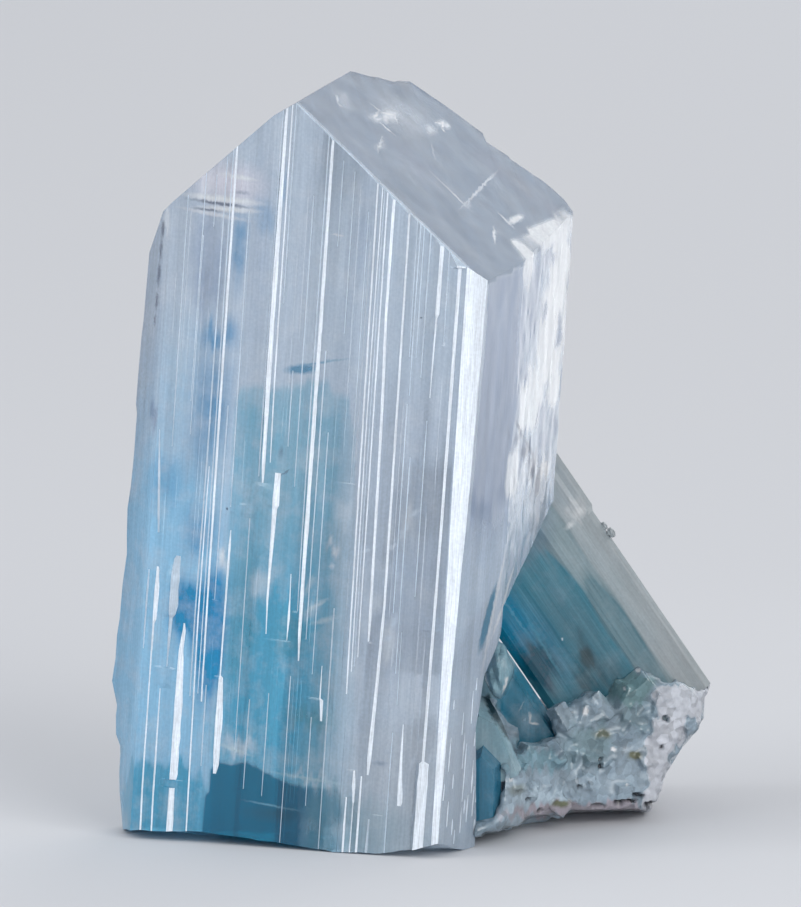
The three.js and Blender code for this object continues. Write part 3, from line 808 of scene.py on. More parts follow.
on_etched = (across > 10.2) & (deep > 4.4)
roof_height = RIDGE_FRONT - ROOF_RIGHT[0] * across - ROOF_RIGHT[1] * deep
on_roof = ((height > roof_height - 0.25) & (across > 0)) * np.clip(deep / 0.3, 0, 1)
on_side = (across > 10.4) & (deep > 0.8) & (on_roof < 0.5)
heart = under(HEART_TOP, 0.5) * np.interp(across, [-2.3, -2.0, 3.6, 5.4], [0.45, 0.8, 0.8, 0.25])
# How far the painted shade on the plain right-hand face reaches at each depth.
side_shade_share = np.interp(deep, [0, 4.6, 6.5, 14], [.75, .75, .4, .3])
masks = {name: zone(across, height, zones) * depth_share for name, colour, zones in TALL_TINTS}
masks |= {
    "heart": heart * np.interp(height, [2, 22, 24], [0.95, 0.9, 0.75]),
    "pool": under(POOL_TOP, 0.25) * np.interp(across, [2.3, 3.6, 5], [1, 0.5, 0.4]) * (deep < 4),
    # Painted shade: the roof tint darkens both roof faces, most of all towards their right and back, where
    # the lights from above fall hardest.
    "roof": on_roof * (0.85 + 0.15 * zone(across, deep, [(8, 9.5, 3, 3, 1, 1)])),
    "roof_milk": on_roof * zone(across, deep, ROOF_MILK),
    # Partly the face's own grey-blue and partly painted shade: the side tint greys and darkens the plain
    # right-hand face, most of all from mid height up.
    "side": on_side * side_shade_share * np.interp(height, [13, 16.5, 19, 23, 28], [0.1, 0.4, 1.25, 1.25, 1]),
    "glare": zone(deep, height, ETCHED_GLARE, (0.45, 0.6), 0.6) * on_etched,
    "etch_grey": zone(deep, height, ETCHED_GREY, (0.5, 0.6), 0.7) * on_etched,
    "crack": zone(deep, height, ETCHED_CRACK) * on_etched,
}
for name, values in masks.items():
    write_mask(tall_prism, name, values)
crisp(tall_prism, 9)
TINTS_BELOW = [("heart", "7DB6CE")]
# The roof and side tints are painted shade on those faces.
TINTS_ABOVE = [("pool", "006488"), ("roof", "5C7793"), ("roof_milk", "E4EAF0"), ("side", "8799B6"),
               ("glare", "FFFFFF"), ("etch_grey", "9BA8BF"), ("crack", "55637C")]
# Small marks in and on the crystal: place, half sizes, tilt, colour, softness and strength.
TALL_MARKS = [

    ((-3.5, 0, 33.9), (1.6, 1.5, .9), (0, 0), "EFE9F2", .7, .9),
    ((-3.7, 0, 33.05), (1.7, 1, .16), (0, 0), "FFFFFF", .6, 1),
    ((-3.9, 0, 32.8), (1.4, 1, .08), (0, 2), "434E63", .6, .8),
    ((-3.4, 0, 32.55), (1.3, 1, .12), (0, -3), "FFFFFF", .7, 1),
    ((-4.5, 0, 32.4), (.7, 1, .07), (0, 0), "505C72", .6, .8),
    ((-4.1, 0, 32.2), (1.4, 1, .09), (0, 4), "F4F5F9", .7, .8),
    ((-2.7, 0, 33.5), (.4, 1, .08), (0, 0), "6C7890", .6, .5),
    ((-3.0, 0, 34.3), (.8, 1, .1), (0, 3), "FFFFFF", .7, .8),
    ((1.35, 0, 24.68), (.85, 1, .24), (0, -9), "4D8CB0", .35, .95),
    ((2.2, 0, 25.1), (.9, 1, .06), (0, -14), "5F9ABB", .5, .8),
    ((3.1, 0, 25.35), (.7, 1, .05), (0, -12), "8FB3C8", .6, .7),
    ((.75, 0, 19.1), (.4, .6, .04), (0, -38), "5A7186", .5, .7),
    ((.5, 0, 20.2), (.12, .6, .3), (0, 0), "5F7F97", .6, .6),
    ((-2.3, 0, 16.9), (.07, .6, .07), (0, 0), "10202C", .4, .9),
    ((7.8, 0, 28.1), (.06, .6, .06), (0, 0), "2A303C", .4, .8),
    ((2.85, 0, 31.9), (.3, .6, .04), (0, 0), "F4F6FA", .5, .9),
    ((-7.25, .7, 31.0), (.14, 1.2, .35), (0, 6), "4C5468", .6, .8),
    ((-7.3, .7, 29.9), (.1, 1.2, .45), (0, 0), "4C5468", .6, .8),
    ((-7.32, .7, 28.6), (.12, 1.2, .5), (0, 0), "525C72", .6, .8),
    ((-7.35, .7, 27.2), (.1, 1.2, .4), (0, 0), "4C5468", .6, .8),
    ((-7.38, .7, 26.2), (.08, 1.2, .3), (0, 0), "5A6378", .6, .7),
    ((1.5, 0, 1.62), (1.3, 1, .05), (0, 3), "6FAFC8", .5, .8),
    ((1.6, 0, 1.2), (1.1, 1, .3), (0, -3), "0B5068", .8, .8),
    ((7.3, 0, 4.6), (.3, 1, .1), (0, 0), "8795AE", .7, .6),
    ((11, 4.05, 12.3), (1, .42, 1.8), (-24, 0), "2580A2", .22, 1),
    ((11, 2.6, 21.2), (1, 2.6, 3.2), (0, 0), "687A94", .9, .5),
    # The pure white line here and the one two lines down are painted glints beside the teal sliver.
    ((11, 4.7, 12.6), (1, .2, 2.8), (-16, 0), "FFFFFF", .5, 1),
    ((11, 5.35, 12.9), (1, .6, 2.4), (-19, 0), "D3DDE8", .4, .9),
    ((11, 6.2, 13.2), (1, .15, 2.2), (-38, 0), "FFFFFF", .5, 1),
    ((11.1, 6.6, 21.95), (1, 1.0, .12), (-32, 0), "46546C", .5, 1),
    ((11, 8.6, 20.75), (1, 1.1, .15), (-30, 0), "46546C", .5, .95),
    ((11, 7.3, 20.2), (1, .12, 1.3), (-12, 0), "62708A", .6, .8),
    ((11, 9.6, 22.2), (1, .1, .9), (-25, 0), "7684A0", .6, .7),
    ((6.9, 5.2, 34.2), (.95, .06, 3), (0, 0), "EDF1F6", .5, .8),
    ((7.5, 7.9, 34.2), (.06, 2.7, 3), (0, 0, 5), "E6EBF2", .5, .8),
    ((9.5, 8.2, 32.7), (.12, .75, 3), (0, 0), "FFFFFF", .5, .9),
    ((9.3, 7.3, 32.7), (.4, .1, 3), (0, 0), "F4F6FA", .5, .8),
    ((9.6, 5, 32.2), (.08, .6, 3), (0, 0, 25), "FFFFFF", .5, .8),
    ((4.2, 10.3, 36.9), (.05, .3, 3), (0, 0, 20), "FFFFFF", .6, .9),
    ((4.4, 9.9, 36.9), (.12, .05, 3), (0, 0), "FFFFFF", .6, .9),
    ((4.0, 10.0, 36.9), (.04, .2, 3), (0, 0, -20), "FFFFFF", .6, .8),
    ((2.5, 6.6, 37.5), (.05, .4, 3), (0, 0, -20), "FFFFFF", .6, .9),
    ((2.7, 6.0, 37.5), (.12, .3, 3), (0, 0, 15), "F6F9FC", .8, .8),
    ((2.3, 5.6, 37.5), (.05, .5, 3), (0, 0, 10), "FFFFFF", .6, .8),
    ((3.0, 5.3, 37.2), (.4, .05, 3), (0, 0, 10), "FFFFFF", .6, .8),
    ((2.9, 6.9, 37.2), (.04, .3, 3), (0, 0, 40), "FFFFFF", .6, .8),
    ((2.0, 6.2, 37.5), (.25, .05, 3), (0, 0, 25), "FFFFFF", .6, .8),
    ((.8, 3.7, 38), (.06, .3, 3), (0, 0, 20), "F4F8FB", .6, .7),
    ((1.1, 3.4, 38), (.15, .05, 3), (0, 0), "F4F8FB", .6, .7),
    ((3.5, 3.4, 36.4), (.06, .7, 3), (0, 0, 15), "F0F4F8", .6, .7),
    ((5.0, 7.2, 36), (.04, .5, 3), (0, 0, 30), "DCE4EE", .6, .5),
    ((8.4, 11.6, 34), (1.5, .7, 3), (0, 0, 20), "66748C", .8, .55),
    ((10.0, 12.2, 33), (.5, .5, 3), (0, 0), "5C6A82", .7, .5),
    ((6.6, 11.0, 35.2), (.7, .8, 3), (0, 0), "7585A0", .9, .5),
    ((3.2, 9.0, 37.4), (.7, .9, 3), (0, 0), "B4C4D4", .9, .5),
    ((5.2, 4.6, 35.3), (1.2, .9, 3), (0, 0), "8593AC", .9, .5),
    ((5.6, 0, 15.6), (.3, 1, .09), (0, -20), "DDEAF8", .6, .9),
    ((7.7, 0, 16.9), (.12, 1, .45), (0, 25), "E4F0FF", .6, .9),
    ((8.2, 0, 17.9), (.3, 1, .1), (0, -40), "E4F0FF", .6, .9),
    ((7.1, 0, 16.0), (.1, 1, .35), (0, 50), "E4F0FF", .6, .8),
    ((7.5, 0, 12.1), (.12, 1, .4), (0, 15), "DDEAF8", .6, .9),
    ((7.2, 0, 11.2), (.2, 1, .12), (0, -30), "E4F0FF", .6, .8),
    ((3.8, 0, 14.6), (.12, 1, .12), (0, 0), "DDEAF8", .7, .9),
    ((3.2, 0, 12.5), (.5, 1, .1), (0, -35), "DCEAF0", .7, .7),
    ((3.6, 0, 11.7), (.6, 1, .12), (0, -20), "D0E2EA", .7, .7),
    ((2.6, 0, 13.4), (.12, 1, .5), (0, 20), "D0E2EA", .7, .6),
    ((9.1, 0, 4.9), (.1, 1, .35), (0, 10), "E4F0FF", .6, .9),
    ((9.6, 0, 6.1), (.25, 1, .07), (0, -25), "E4F0FF", .6, .9),
    ((8.6, 0, 3.4), (.08, 1, .4), (0, -5), "E4F0FF", .6, .8),
    ((9.9, 0, 3.0), (.1, 1, .5), (0, 5), "E4F0FF", .6, .9),
    ((10.0, 0, 5.2), (.07, 1, .3), (0, 12), "E4F0FF", .6, .8),
    ((9.3, 0, 1.9), (.06, 1, .35), (0, 0), "E4F0FF", .6, .8),
    ((6.6, 0, 3.4), (.3, 1, .08), (0, -30), "DDEAF8", .7, .8),
    ((-.9, 0, 4.3), (.7, 1, .09), (0, 12), "CFE4EC", .7, .8),
    ((3.4, 0, 3.3), (1.5, 1, .07), (0, 2), "BFDCE6", .7, .7),
    ((-2.4, 0, 14.4), (.12, 1, .3), (0, 0), "F4F9FC", .8, .9),
]


def tinted(tree, place, base, tints, grain_size):
    """Base colour with the zones of colour mixed over it, their edges broken up along the crystal."""
    drawn = add(tree, "ShaderNodeVectorMath", {0: place, 1: (1.0, 1.0, 0.22)}, operation="MULTIPLY")
    ragged = add(tree, "ShaderNodeTexNoise", {"Vector": drawn.outputs[0], "Scale": 1 / grain_size,
                                              "Detail": 4.0, "Roughness": 0.6})
    for name, colour, *zones in tints:
        mask = add(tree, "ShaderNodeAttribute", attribute_name=name)
        fringe = add(tree, "ShaderNodeMath", {0: mask.outputs["Fac"], 1: ragged.outputs["Fac"]},
                     operation="MULTIPLY")
        share = add(tree, "ShaderNodeMath", {0: mask.outputs["Fac"], 1: mask.outputs["Fac"],
                                             2: fringe.outputs[0]}, operation="MULTIPLY_ADD", use_clamp=True)
        blend = add(tree, "ShaderNodeMix", {0: share.outputs[0], 6: base, 7: linear(colour)},
                    data_type="RGBA")
        base = blend.outputs[2]
    return base


def marked(tree, place, base, marks):
    """Mixes small soft-edged marks over a colour. Their lean is about x, y and, if given, z."""
    shake = add(tree, "ShaderNodeTexNoise", {"Vector": place, "Scale": 1 / 0.25, "Detail": 3.0})
    shift = add(tree, "ShaderNodeVectorMath", {0: shake.outputs["Color"], 1: (0.5, 0.5, 0.5)},
                operation="SUBTRACT")
    moved = add(tree, "ShaderNodeVectorMath", {0: shift.outputs[0], 1: (0.3, 0.3, 0.2), 2: place},
                operation="MULTIPLY_ADD")
    for at, half, lean, colour, soft, strength in marks:
        ball = add(tree, "ShaderNodeTexGradient", {"Vector": moved.outputs[0]}, gradient_type="SPHERICAL")
        ball.texture_mapping.vector_type = "TEXTURE"
        ball.texture_mapping.translation = at
        ball.texture_mapping.rotation = [math.radians(a) for a in (*lean, 0)[:3]]
        ball.texture_mapping.scale = [h * (1 + soft) for h in half]
        share = add(tree, "ShaderNodeMapRange", {"Value": ball.outputs["Fac"],
                                                 "From Max": 2 * soft / (1 + soft), "To Max": strength})
        blend = add(tree, "ShaderNodeMix", {0: share.outputs[0], 6: base, 7: linear(colour)},
                    data_type="RGBA")
        base = blend.outputs[2]
    return base


EUCLASE_IOR = 1.652


def euclase(name, body, tints, clearness, gloss, absorb, density, hair=0.12, hair_deep=0.02, marks=(),
            hair_tone=0.1, mist=0.5, above=(), mirror=0.25):
    """Natural euclase, see-through with milky clouds and hair-fine growth lines along the crystal.

    The scales are one over a size in mm. The real growth lines and specks are finer than these, which
    are as coarse as they have to be to show.
    """
    made, tree, out = new_material(name)
    own = add(tree, "ShaderNodeTexCoord")
    place = add(tree, "ShaderNodeVectorMath", {0: own.outputs["Object"], "Scale": 1 / MM}, operation="SCALE")
    drawn = add(tree, "ShaderNodeVectorMath", {0: place.outputs[0], 1: (1.0, 1.0, 0.03)},
                operation="MULTIPLY")
    hairs = add(tree, "ShaderNodeTexNoise", {"Vector": drawn.outputs[0], "Scale": 1 / hair,
                                             "Detail": 3.0, "Roughness": 0.55})
    broad = add(tree, "ShaderNodeTexNoise", {"Vector": drawn.outputs[0], "Scale": 1 / 0.9, "Detail": 2.0})
    cloud = add(tree, "ShaderNodeTexNoise", {"Vector": place.outputs[0], "Scale": 1 / 1.6, "Detail": 5.0,
                                             "Roughness": 0.6})
    colour = tinted(tree, place.outputs[0], linear(body), tints, 0.5)
    veil = add(tree, "ShaderNodeMapRange", {"Value": cloud.outputs["Fac"], "From Min": 0.47,
                                            "From Max": 0.75, "To Max": mist})
    misty = add(tree, "ShaderNodeMix", {0: veil.outputs[0], 6: colour, 7: linear("E2E8EF")},
                data_type="RGBA")
    colour = tinted(tree, place.outputs[0], misty.outputs[2], above, 0.5)
    colour = marked(tree, place.outputs[0], colour, marks)
    tone = add(tree, "ShaderNodeMapRange", {"Value": hairs.outputs["Fac"], "From Min": 0.3, "From Max": 0.7,
                                            "To Min": 1 - hair_tone, "To Max": 1 + hair_tone})
    tone_broad = add(tree, "ShaderNodeMapRange", {"Value": broad.outputs["Fac"], "From Min": 0.3,
                                                  "From Max": 0.7, "To Min": 0.88, "To Max": 1.1})
    grain = add(tree, "ShaderNodeTexNoise", {"Vector": place.outputs[0], "Scale": 1 / 0.16, "Detail": 3.0})
    tone_grain = add(tree, "ShaderNodeMapRange", {"Value": grain.outputs["Fac"], "From Min": 0.35,
                                                  "From Max": 0.65, "To Min": 0.94, "To Max": 1.06})
    shade = tone.outputs[0]
    for other in (tone_broad, tone_grain):
        shade = add(tree, "ShaderNodeMath", {0: shade, 1: other.outputs[0]}, operation="MULTIPLY").outputs[0]
    toned = add(tree, "ShaderNodeVectorMath", {0: colour, "Scale": shade}, operation="SCALE")
    rough = add(tree, "ShaderNodeMapRange", {"Value": cloud.outputs["Fac"], "To Min": gloss,
                                             "To Max": gloss + 0.16})
    lines = add(tree, "ShaderNodeBump", {"Height": hairs.outputs["Fac"], "Strength": 0.35,
                                         "Distance": hair_deep * MM})
    shader = add(tree, "ShaderNodeBsdfPrincipled", {
        "Base Color": toned.outputs[0], "Roughness": rough.outputs[0], "IOR": EUCLASE_IOR,
        "Specular IOR Level": mirror, "Transmission Weight": clearness, "Normal": lines.outputs["Normal"]})
    tree.links.new(shader.outputs["BSDF"], out.inputs["Surface"])
    if density:
        inside = add(tree, "ShaderNodeVolumeAbsorption", {"Color": linear(absorb), "Density": density})
        tree.links.new(inside.outputs["Volume"], out.inputs["Volume"])
    return made


# Clear euclase under a striated face: pale and glassy, with its colours showing through a fine haze.
tall_clear = euclase("clear_striated_euclase", "C4D2E1", TINTS_BELOW + TALL_TINTS, 0.6, 0.08, "B9DCEB", 14.0,
                     marks=TALL_MARKS, mist=0.4, above=TINTS_ABOVE)
# The sloping faces of the broad steps are etched all over: they scatter light and look satin white.
tall_white = euclase("satin_growth_steps", "DDE5EE", [], 0.1, 0.36, "FFFFFF", 0, hair=0.05, hair_tone=0.24)
# Those of the narrow steps are half etched: a little brighter than the clear crystal beside them.
tall_pale = euclase("half_frosted_growth_steps", "C6D6E4", [], 0.4, 0.3, "FFFFFF", 0, hair=0.05,
                    hair_tone=0.2)
coated(tall_prism, tall_clear, tall_white, tall_pale)
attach(tall_prism, "root")
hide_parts("euclase_crystals")


# ---- The leaning prism --------------------------------------------------------------------------
# A second euclase crystal, deeper teal with a pale striated rim, that grew up through the back of
# the tall prism's undercut. It is still rooted in the rock at its foot.

# Its own axes, in mm: z along it, x to the upper right, y back.
LEANER_LEAN = -34.2
LEANER_TIP_BACK = -3.0
LEANER_FOOT = (10.2, 15.0, 6.18)
LEANER_HEIGHTS = (-1.7, 18.2)
LEANER_ROOF_AT = (0, 0, 16.0)
LEANER_ROOFS = [(0.7, -0.2, 1), (-0.9, 0.3, 1), (0.1, 1.1, 1)]
LEANER_OUTLINE = [(-3.95, -1.9), (-3.5, -2.5), (1.15, -2.95), (2.2, -2.4), (2.9, -1.65), (3.5, -0.85),
                  (3.85, -0.2), (3.3, 2.4), (-1.8, 3.0), (-3.95, 1.2)]
LEANER_NOTCH = 9.55          # above this height the right edge stands out a little further
LEANER_LEDGE = 0.16
LEDGE_FROM_X = 3.2
LEANER_GRAINS = [((4.0, -.3, 7.9), (.2, .22, .26)), ((3.9, -.2, 8.4), (.14, .15, .2))]
CONTACT_GAP = 0.04           # the hair's breadth that is kept where two crystals meet
TALL_SPACE = [(-6.5, -0.3), (10.1, -0.3), (10.85, 0.4), (11.32, 5.5), (10.75, 13.75), (9.95, 14.15),
              (8.7, 13.95), (7, 13.2), (5.9, 12.7), (5.45, 13.05), (1.75, 11.45), (-0.1, 7.25),
              (-4.6, 5.85), (-6.35, 5.35), (-8.6, 3.75), (-8.6, 1.5)]


def crystal_place(foot, lean, turn_by=0.0, back_by=0.0):
    """Where a crystal stands that leans across, is turned about its length and leans back."""
    turned = turn(back_by, "X") @ turn(lean, "Y") @ turn(turn_by, "Z")
    return Matrix.Translation(foot_origin + Vector(foot) * MM) @ turned


def tall_space():
    """The space that the tall prism fills, a hair's breadth larger."""
    body = piece_from(extruded(TALL_SPACE, -4, 45), "tall_space", tall_place)
    return combine(body, [undercut(CONTACT_GAP), rim_bevel(CONTACT_GAP)])


def ribbed_prism(outline, heights, step, rib_deep, seed, row_step=0.3, ledge_from=99, ledge=0.0):
    """A prism with fine uneven ribs and dents along its sides, and a ledge on its right if it has one."""
    closed = densified(outline + outline[:1], step)[:-1]
    rings = []
    for z in np.arange(heights[0], heights[1] + row_step, row_step):
        ring = []
        out_by = np.interp(z, [ledge_from - 0.1, ledge_from + 0.1], [0, ledge])
        for i, (x, y) in enumerate(closed):
            a, b = closed[i - 1], closed[(i + 1) % len(closed)]
            out_way = Vector((b[1] - a[1], a[0] - b[0])).normalized()
            rib = wave(i * 0.45, z * 0.05, seed=seed) + 0.5 * wave(i * 1.1, z * 0.12, seed=seed + 4)
            rib += 0.5 * wave(x, y, z * 0.6, size=1.2, seed=seed + 8)
            x += float(out_by) * (x > LEDGE_FROM_X)
            ring.append((x + out_way.x * rib * rib_deep, y + out_way.y * rib * rib_deep, float(z)))
        rings.append(ring)
    return grid_solid(rings, lambda j, i: 0)


def rounded_lump(at, half, seed, place):
    """An uneven rounded lump."""
    body = bmesh.new()
    bmesh.ops.create_icosphere(body, subdivisions=4, radius=1)
    for v in body.verts:
        swell = 1 + 0.3 * wave(*v.co, size=0.7, seed=seed) + 0.03 * wave(*v.co, size=0.2, seed=seed)
        v.co = [(c * h * swell + a) * MM for c, h, a in zip(v.co, half, at)]
    return piece_from(body, "lump", place)


leaner = ribbed_prism(LEANER_OUTLINE, LEANER_HEIGHTS, 0.14, 0.02, 41, 0.3, LEANER_NOTCH, LEANER_LEDGE)
for normal in LEANER_ROOFS:
    slice_off(leaner, LEANER_ROOF_AT, normal)
leaner_place = crystal_place(LEANER_FOOT, LEANER_LEAN, 0, LEANER_TIP_BACK)
leaning_prism = piece_from(leaner, "leaning_prism", leaner_place)
combine(leaning_prism, [rounded_lump(at, half, 45, leaner_place) for at, half in LEANER_GRAINS], "UNION")
combine(leaning_prism, [tall_space()])

LEANER_TINTS = [
    ("teal", "3A899E", [(-1.5, 5, 2.75, 6.5, .1, 1.0), (-.2, 9, 1.2, 2, .5, .3)]),
    ("grey_green", "587F8B", [(1.65, 2.6, .65, 4.5, .2, .9), (-.2, 4.5, .9, 2.5, .8, .45),
                              (.2, 8, .5, 3, .8, .3)]),
    ("blue", "0088B0", [(-3.1, 6.6, 1.1, 2.6, .9, .95), (-2.1, 6.0, .7, 3, .9, .5)]),
    ("deep_teal", "005068", [(-3.0, 4.4, 1.0, 1.4, .8, .9), (-1.2, 4, 1.6, 3.5, .9, .3)]),
    ("smoke", "2F525C", [(-.7, 3.3, .45, .7, .8, .9), (-1.5, 2.2, .5, .9, .9, .6), (-.2, 2, .8, .8, .9, .5),
                         (-.3, 4.4, .3, .4, .9, .5)]),
    ("haze", "6C8A9A", [(-.4, 14.5, 3.1, 5, .25, .85), (3.2, 14, .9, 4, .3, .6)]),
    ("milk", "C9CDCF", [(3.4, 6, 1.1, 12, .15, .6), (3.2, 10, .7, .6, .8, .9), (2.9, 1, .6, 1.2, .8, .4)]),
]
LEANER_MARKS = [

    ((3.3, -2, 9.8), (.3, 1, .25), (0, 0), "FFFFFF", .7, .8),
    ((2.5, -2, 9.6), (.25, 1, .12), (0, 0), "FFFFFF", .7, .7),
    ((-.55, -3, 3.5), (.2, 1, .3), (0, 20), "21414B", .7, .8),
    ((-1.2, -3, 4.9), (.06, .6, .06), (0, 0), "FFFFFF", .5, .9),
    ((-2.2, -3, 5.5), (.07, 1, 1.6), (0, 4), "5FB4CC", .7, .6),
    ((-2.6, -3, 7.5), (.05, 1, 1.8), (0, -2), "6FBFD4", .7, .5),
]
across, deep, height = points_of(leaning_prism).T
for name, colour, zones in LEANER_TINTS:
    write_mask(leaning_prism, name, zone(across, height, zones))
crisp(leaning_prism, 24)
# Deeper teal euclase, clean inside: darker and more even than the tall prism, with a soft gloss.
coated(leaning_prism, euclase("teal_euclase", "8B9FA5", LEANER_TINTS, 0.5, 0.26, "8FC4CC", 40.0,
                              hair=0.1, hair_deep=0.03, marks=LEANER_MARKS, mist=0.15, mirror=0.06))
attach(leaning_prism, "root")
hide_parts("euclase_crystals")


# ---- Small crystals at the foot -----------------------------------------------------------------
# Short euclase crystals and one clear rounded grain. They grew between the two prisms on the same
# rock, and into each other, so they share one mesh. Only the bluest one at the very foot is apart.

SMALL_OUTLINE = [(-1, -.55), (-.75, -1), (.8, -.9), (1, -.3), (.5, 1), (-.8, .8)]
SMALL_ROOFS = [(1.1, -.35, 1), (-.8, -.5, 1)]
SMALL_ROOF_DROP = 0.4
SMALL_CRYSTALS = [  # name, foot, half width and half depth, length, lean, turn
    ("side", (6.05, 12.1, 3.25), (1.3, 1.7), 8.6, -33.7, -8),
    ("stub", (3.5, 6.6, 3.3), (.95, 1.1), 4.5, -22, -10),
    ("blade", (8.3, 13.2, 4.1), (.8, 1.5), 3.4, 14, 10),
    ("wedge", (10.3, 13.9, 4.4), (.95, 1.4), 3.9, -10, -20),
]
BLUE_CRYSTAL = ("blue_foot", (2.35, 6.3, .9), (.95, 1.8), 4.9, 0, -12)
LOBE_AT = (3.05, 8.2, 8.65)
LOBE_HALF = (.72, 2.4, 1.3)
GROUND_REACH = 30
CHIP_FACES = 100             # loose chips with fewer faces than this are taken away


def small_crystal(name, foot, half, length, lean, turn_by, seed):
    """A short ribbed crystal that stands in the group's own axes."""
    outline = [(x * half[0], y * half[1]) for x, y in SMALL_OUTLINE]
    body = ribbed_prism(outline, (0, length), 0.2, 0.035, seed, 0.2)
    for normal in SMALL_ROOFS:
        slice_off(body, (0, 0, length - half[0] * SMALL_ROOF_DROP), normal)
    made = piece_from(body, name, crystal_place(foot, lean, turn_by))
    made.data.transform(made.matrix_world)
    made.matrix_world = Matrix.Identity(4)
    return made


def leaner_space():
    """The space that the leaning prism fills, a hair's breadth larger."""
    outline = [(x * 1.012, y * 1.015) for x, y in LEANER_OUTLINE]
    return piece_from(extruded(outline, LEANER_HEIGHTS[0] - .1, 18), "leaner_space", leaner_place)


def grown(piece, by):
    """A copy of a piece that is a little larger all over, to cut its place out of another."""
    mesh = piece.data.copy()
    normals = [v.normal.copy() for v in mesh.vertices]
    for v, normal in zip(mesh.vertices, normals):
        v.co += normal * by * MM
    made = bpy.data.objects.new("space", mesh)
    scene.collection.objects.link(made)
    made.matrix_world = piece.matrix_world
    return made


def ground():
    """All that is below the ground."""
    square = [(-GROUND_REACH, -GROUND_REACH), (GROUND_REACH, -GROUND_REACH),
              (GROUND_REACH, GROUND_REACH), (-GROUND_REACH, GROUND_REACH)]
    return piece_from(extruded(square, -5, 0), "ground", Matrix.Identity(4))


parts = [small_crystal(*row, seed=60 + i) for i, row in enumerate(SMALL_CRYSTALS)]
parts.append(rounded_lump(LOBE_AT, LOBE_HALF, 71, Matrix.Translation(foot_origin)))
foot_crystals = combine(parts[0], parts[1:], "UNION")
foot_crystals.name = "foot_crystals"
without_chips(combine(foot_crystals, [tall_space(), leaner_space()]), CHIP_FACES)
blue_foot = small_crystal(*BLUE_CRYSTAL, seed=77)
combine(blue_foot, [tall_space(), ground()])
SIGHT_DROP = 0.1405          # how far the line of sight comes down for each mm into the group
SIGHT_DEPTH = 11.47          # depth at which seen heights are given
FOOT_TINTS = [  # name, colour, zones as place across and seen height
    ("teal", "2E829E", [(4.9, 6.2, 1.9, 2.6, .4, .9)]),
    ("clear", "9BC2CE", [(3.05, 8.3, .8, 1.3, .3, .6), (3.3, 4.4, .6, 1.2, .6, .7)]),
    ("lens", "2C4650", [(2.45, 6.65, .22, .32, .5, .95), (2.7, 6.25, .22, .35, .5, .95),
                        (2.95, 5.8, .2, .32, .5, .9), (3.3, 5.2, .15, .3, .6, .7)]),
    ("gleam", "FFFFFF", [(3.5, 7.6, .07, .25, .5, .9)]),
]
FOOT_MARKS = [(tuple(Vector(at) + foot_origin / MM), half, lean, colour, soft, strength)
              for at, half, lean, colour, soft, strength in [
                  ((2.75, 6.6, 6.9), (.22, 2, .95), (0, -30), "233C46", .35, 1),
                  ((3.45, 6.6, 5.7), (.13, 2, .5), (0, -34), "35505A", .4, .9),
                  ((4.0, 8.5, 5.6), (.3, 2, .25), (0, 20), "4D7076", .7, .6),
                  ((4.3, 8.5, 6.4), (.04, 2, .35), (0, 25), "F2F8FA", .5, .8),
                  ((3.4, 6.6, 8.1), (.07, 2, .4), (0, 20), "FFFFFF", .5, 1),
                  # These two crossing white marks are a painted glint.
                  ((4.95, 10, 5.5), (.2, 2, .06), (0, 10), "FFFFFF", .6, .9),
                  ((4.75, 10, 5.8), (.06, 2, .22), (0, 0), "FFFFFF", .6, .8)]]
across, deep, height = (points_of(foot_crystals) - np.array(foot_origin) / MM).T
seen = height + (deep - SIGHT_DEPTH) * SIGHT_DROP
for name, colour, zones in FOOT_TINTS:
    write_mask(foot_crystals, name, zone(across, seen, zones, (0.1, 0.15), 1.0))
# Small clear crystals: pale and wet-looking where they are thin. The one at the foot is a deeper blue.
pale_teal = euclase("clear_pale_teal_euclase", "9CC0CC", FOOT_TINTS, 0.45, 0.16, "9CCFDA", 10.0,
                    marks=FOOT_MARKS, mist=0.3)
deep_teal = euclase("deep_teal_euclase", "3A8DAE", [], 0.5, 0.1, "4FA3BF", 60.0, mist=0.15)
for piece, coat in ((foot_crystals, pale_teal), (blue_foot, deep_teal)):
    crisp(piece, 15)
    coated(piece, coat)
    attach(piece, "root")
    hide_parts("euclase_crystals")


# ---- The rock -----------------------------------------------------------------------------------
# The granular rock that it all grew on: glassy bluish grey grains packed between the crystals' feet,
# a crust of sugary white grains down the right side, and a pinkish, pitted broken underside.

# Outline of the rock as it is seen from the front: place across and seen height.
ROCK_SEEN = [(14.36, 7.36), (14.1, 6.88), (13.89, 6.62), (13.99, 5.56), (13.25, 4.49), (12.47, 3.54),
             (11.83, 2.37), (11.41, .88), (10.89, .57), (10.52, .67), (8.68, .57), (6.79, .51),
             (5.52, .46), (4.79, .35), (4.16, -.02), (3.42, -.23), (2.58, -.42), (1.6, -.75), (1.6, .25),
             (2.6, .45), (3.05, 1.31), (3.31, 2.69), (2.89, 3.11), (3.47, 3.59), (3.95, 3.86),
             (4.47, 4.07), (5.21, 4.49), (5.94, 4.6), (5.84, 5.56), (6.0, 6.04), (6.89, 6.51),
             (7.63, 7.04), (8.05, 7.15), (8.68, 6.83), (9.1, 6.62), (9.41, 7.36), (10.26, 8.21),
             (10.78, 8.32), (11.41, 8.0), (11.94, 7.68), (12.47, 7.79), (12.99, 7.47), (13.73, 7.15)]
ROCK_FRONT = [(1.6, 3.5), (2.5, 3.9), (3.4, 4.9), (5, 8.2), (7, 10.2), (9, 11.0), (10.5, 11.5), (12, 11.7),
              (13.5, 12.2), (14.4, 12.9)]  # place across, depth of the rock's front
ROCK_BACK = 17.0
ROCK_ROUND = 1.0             # how far in from its outline the rock's front curves back
ROCK_CELL = 0.25
GRAIN_SEED = 5
GRAIN_COUNT = 150
GRAIN_HALF = (0.25, 0.55)
GRAIN_TURN = 35
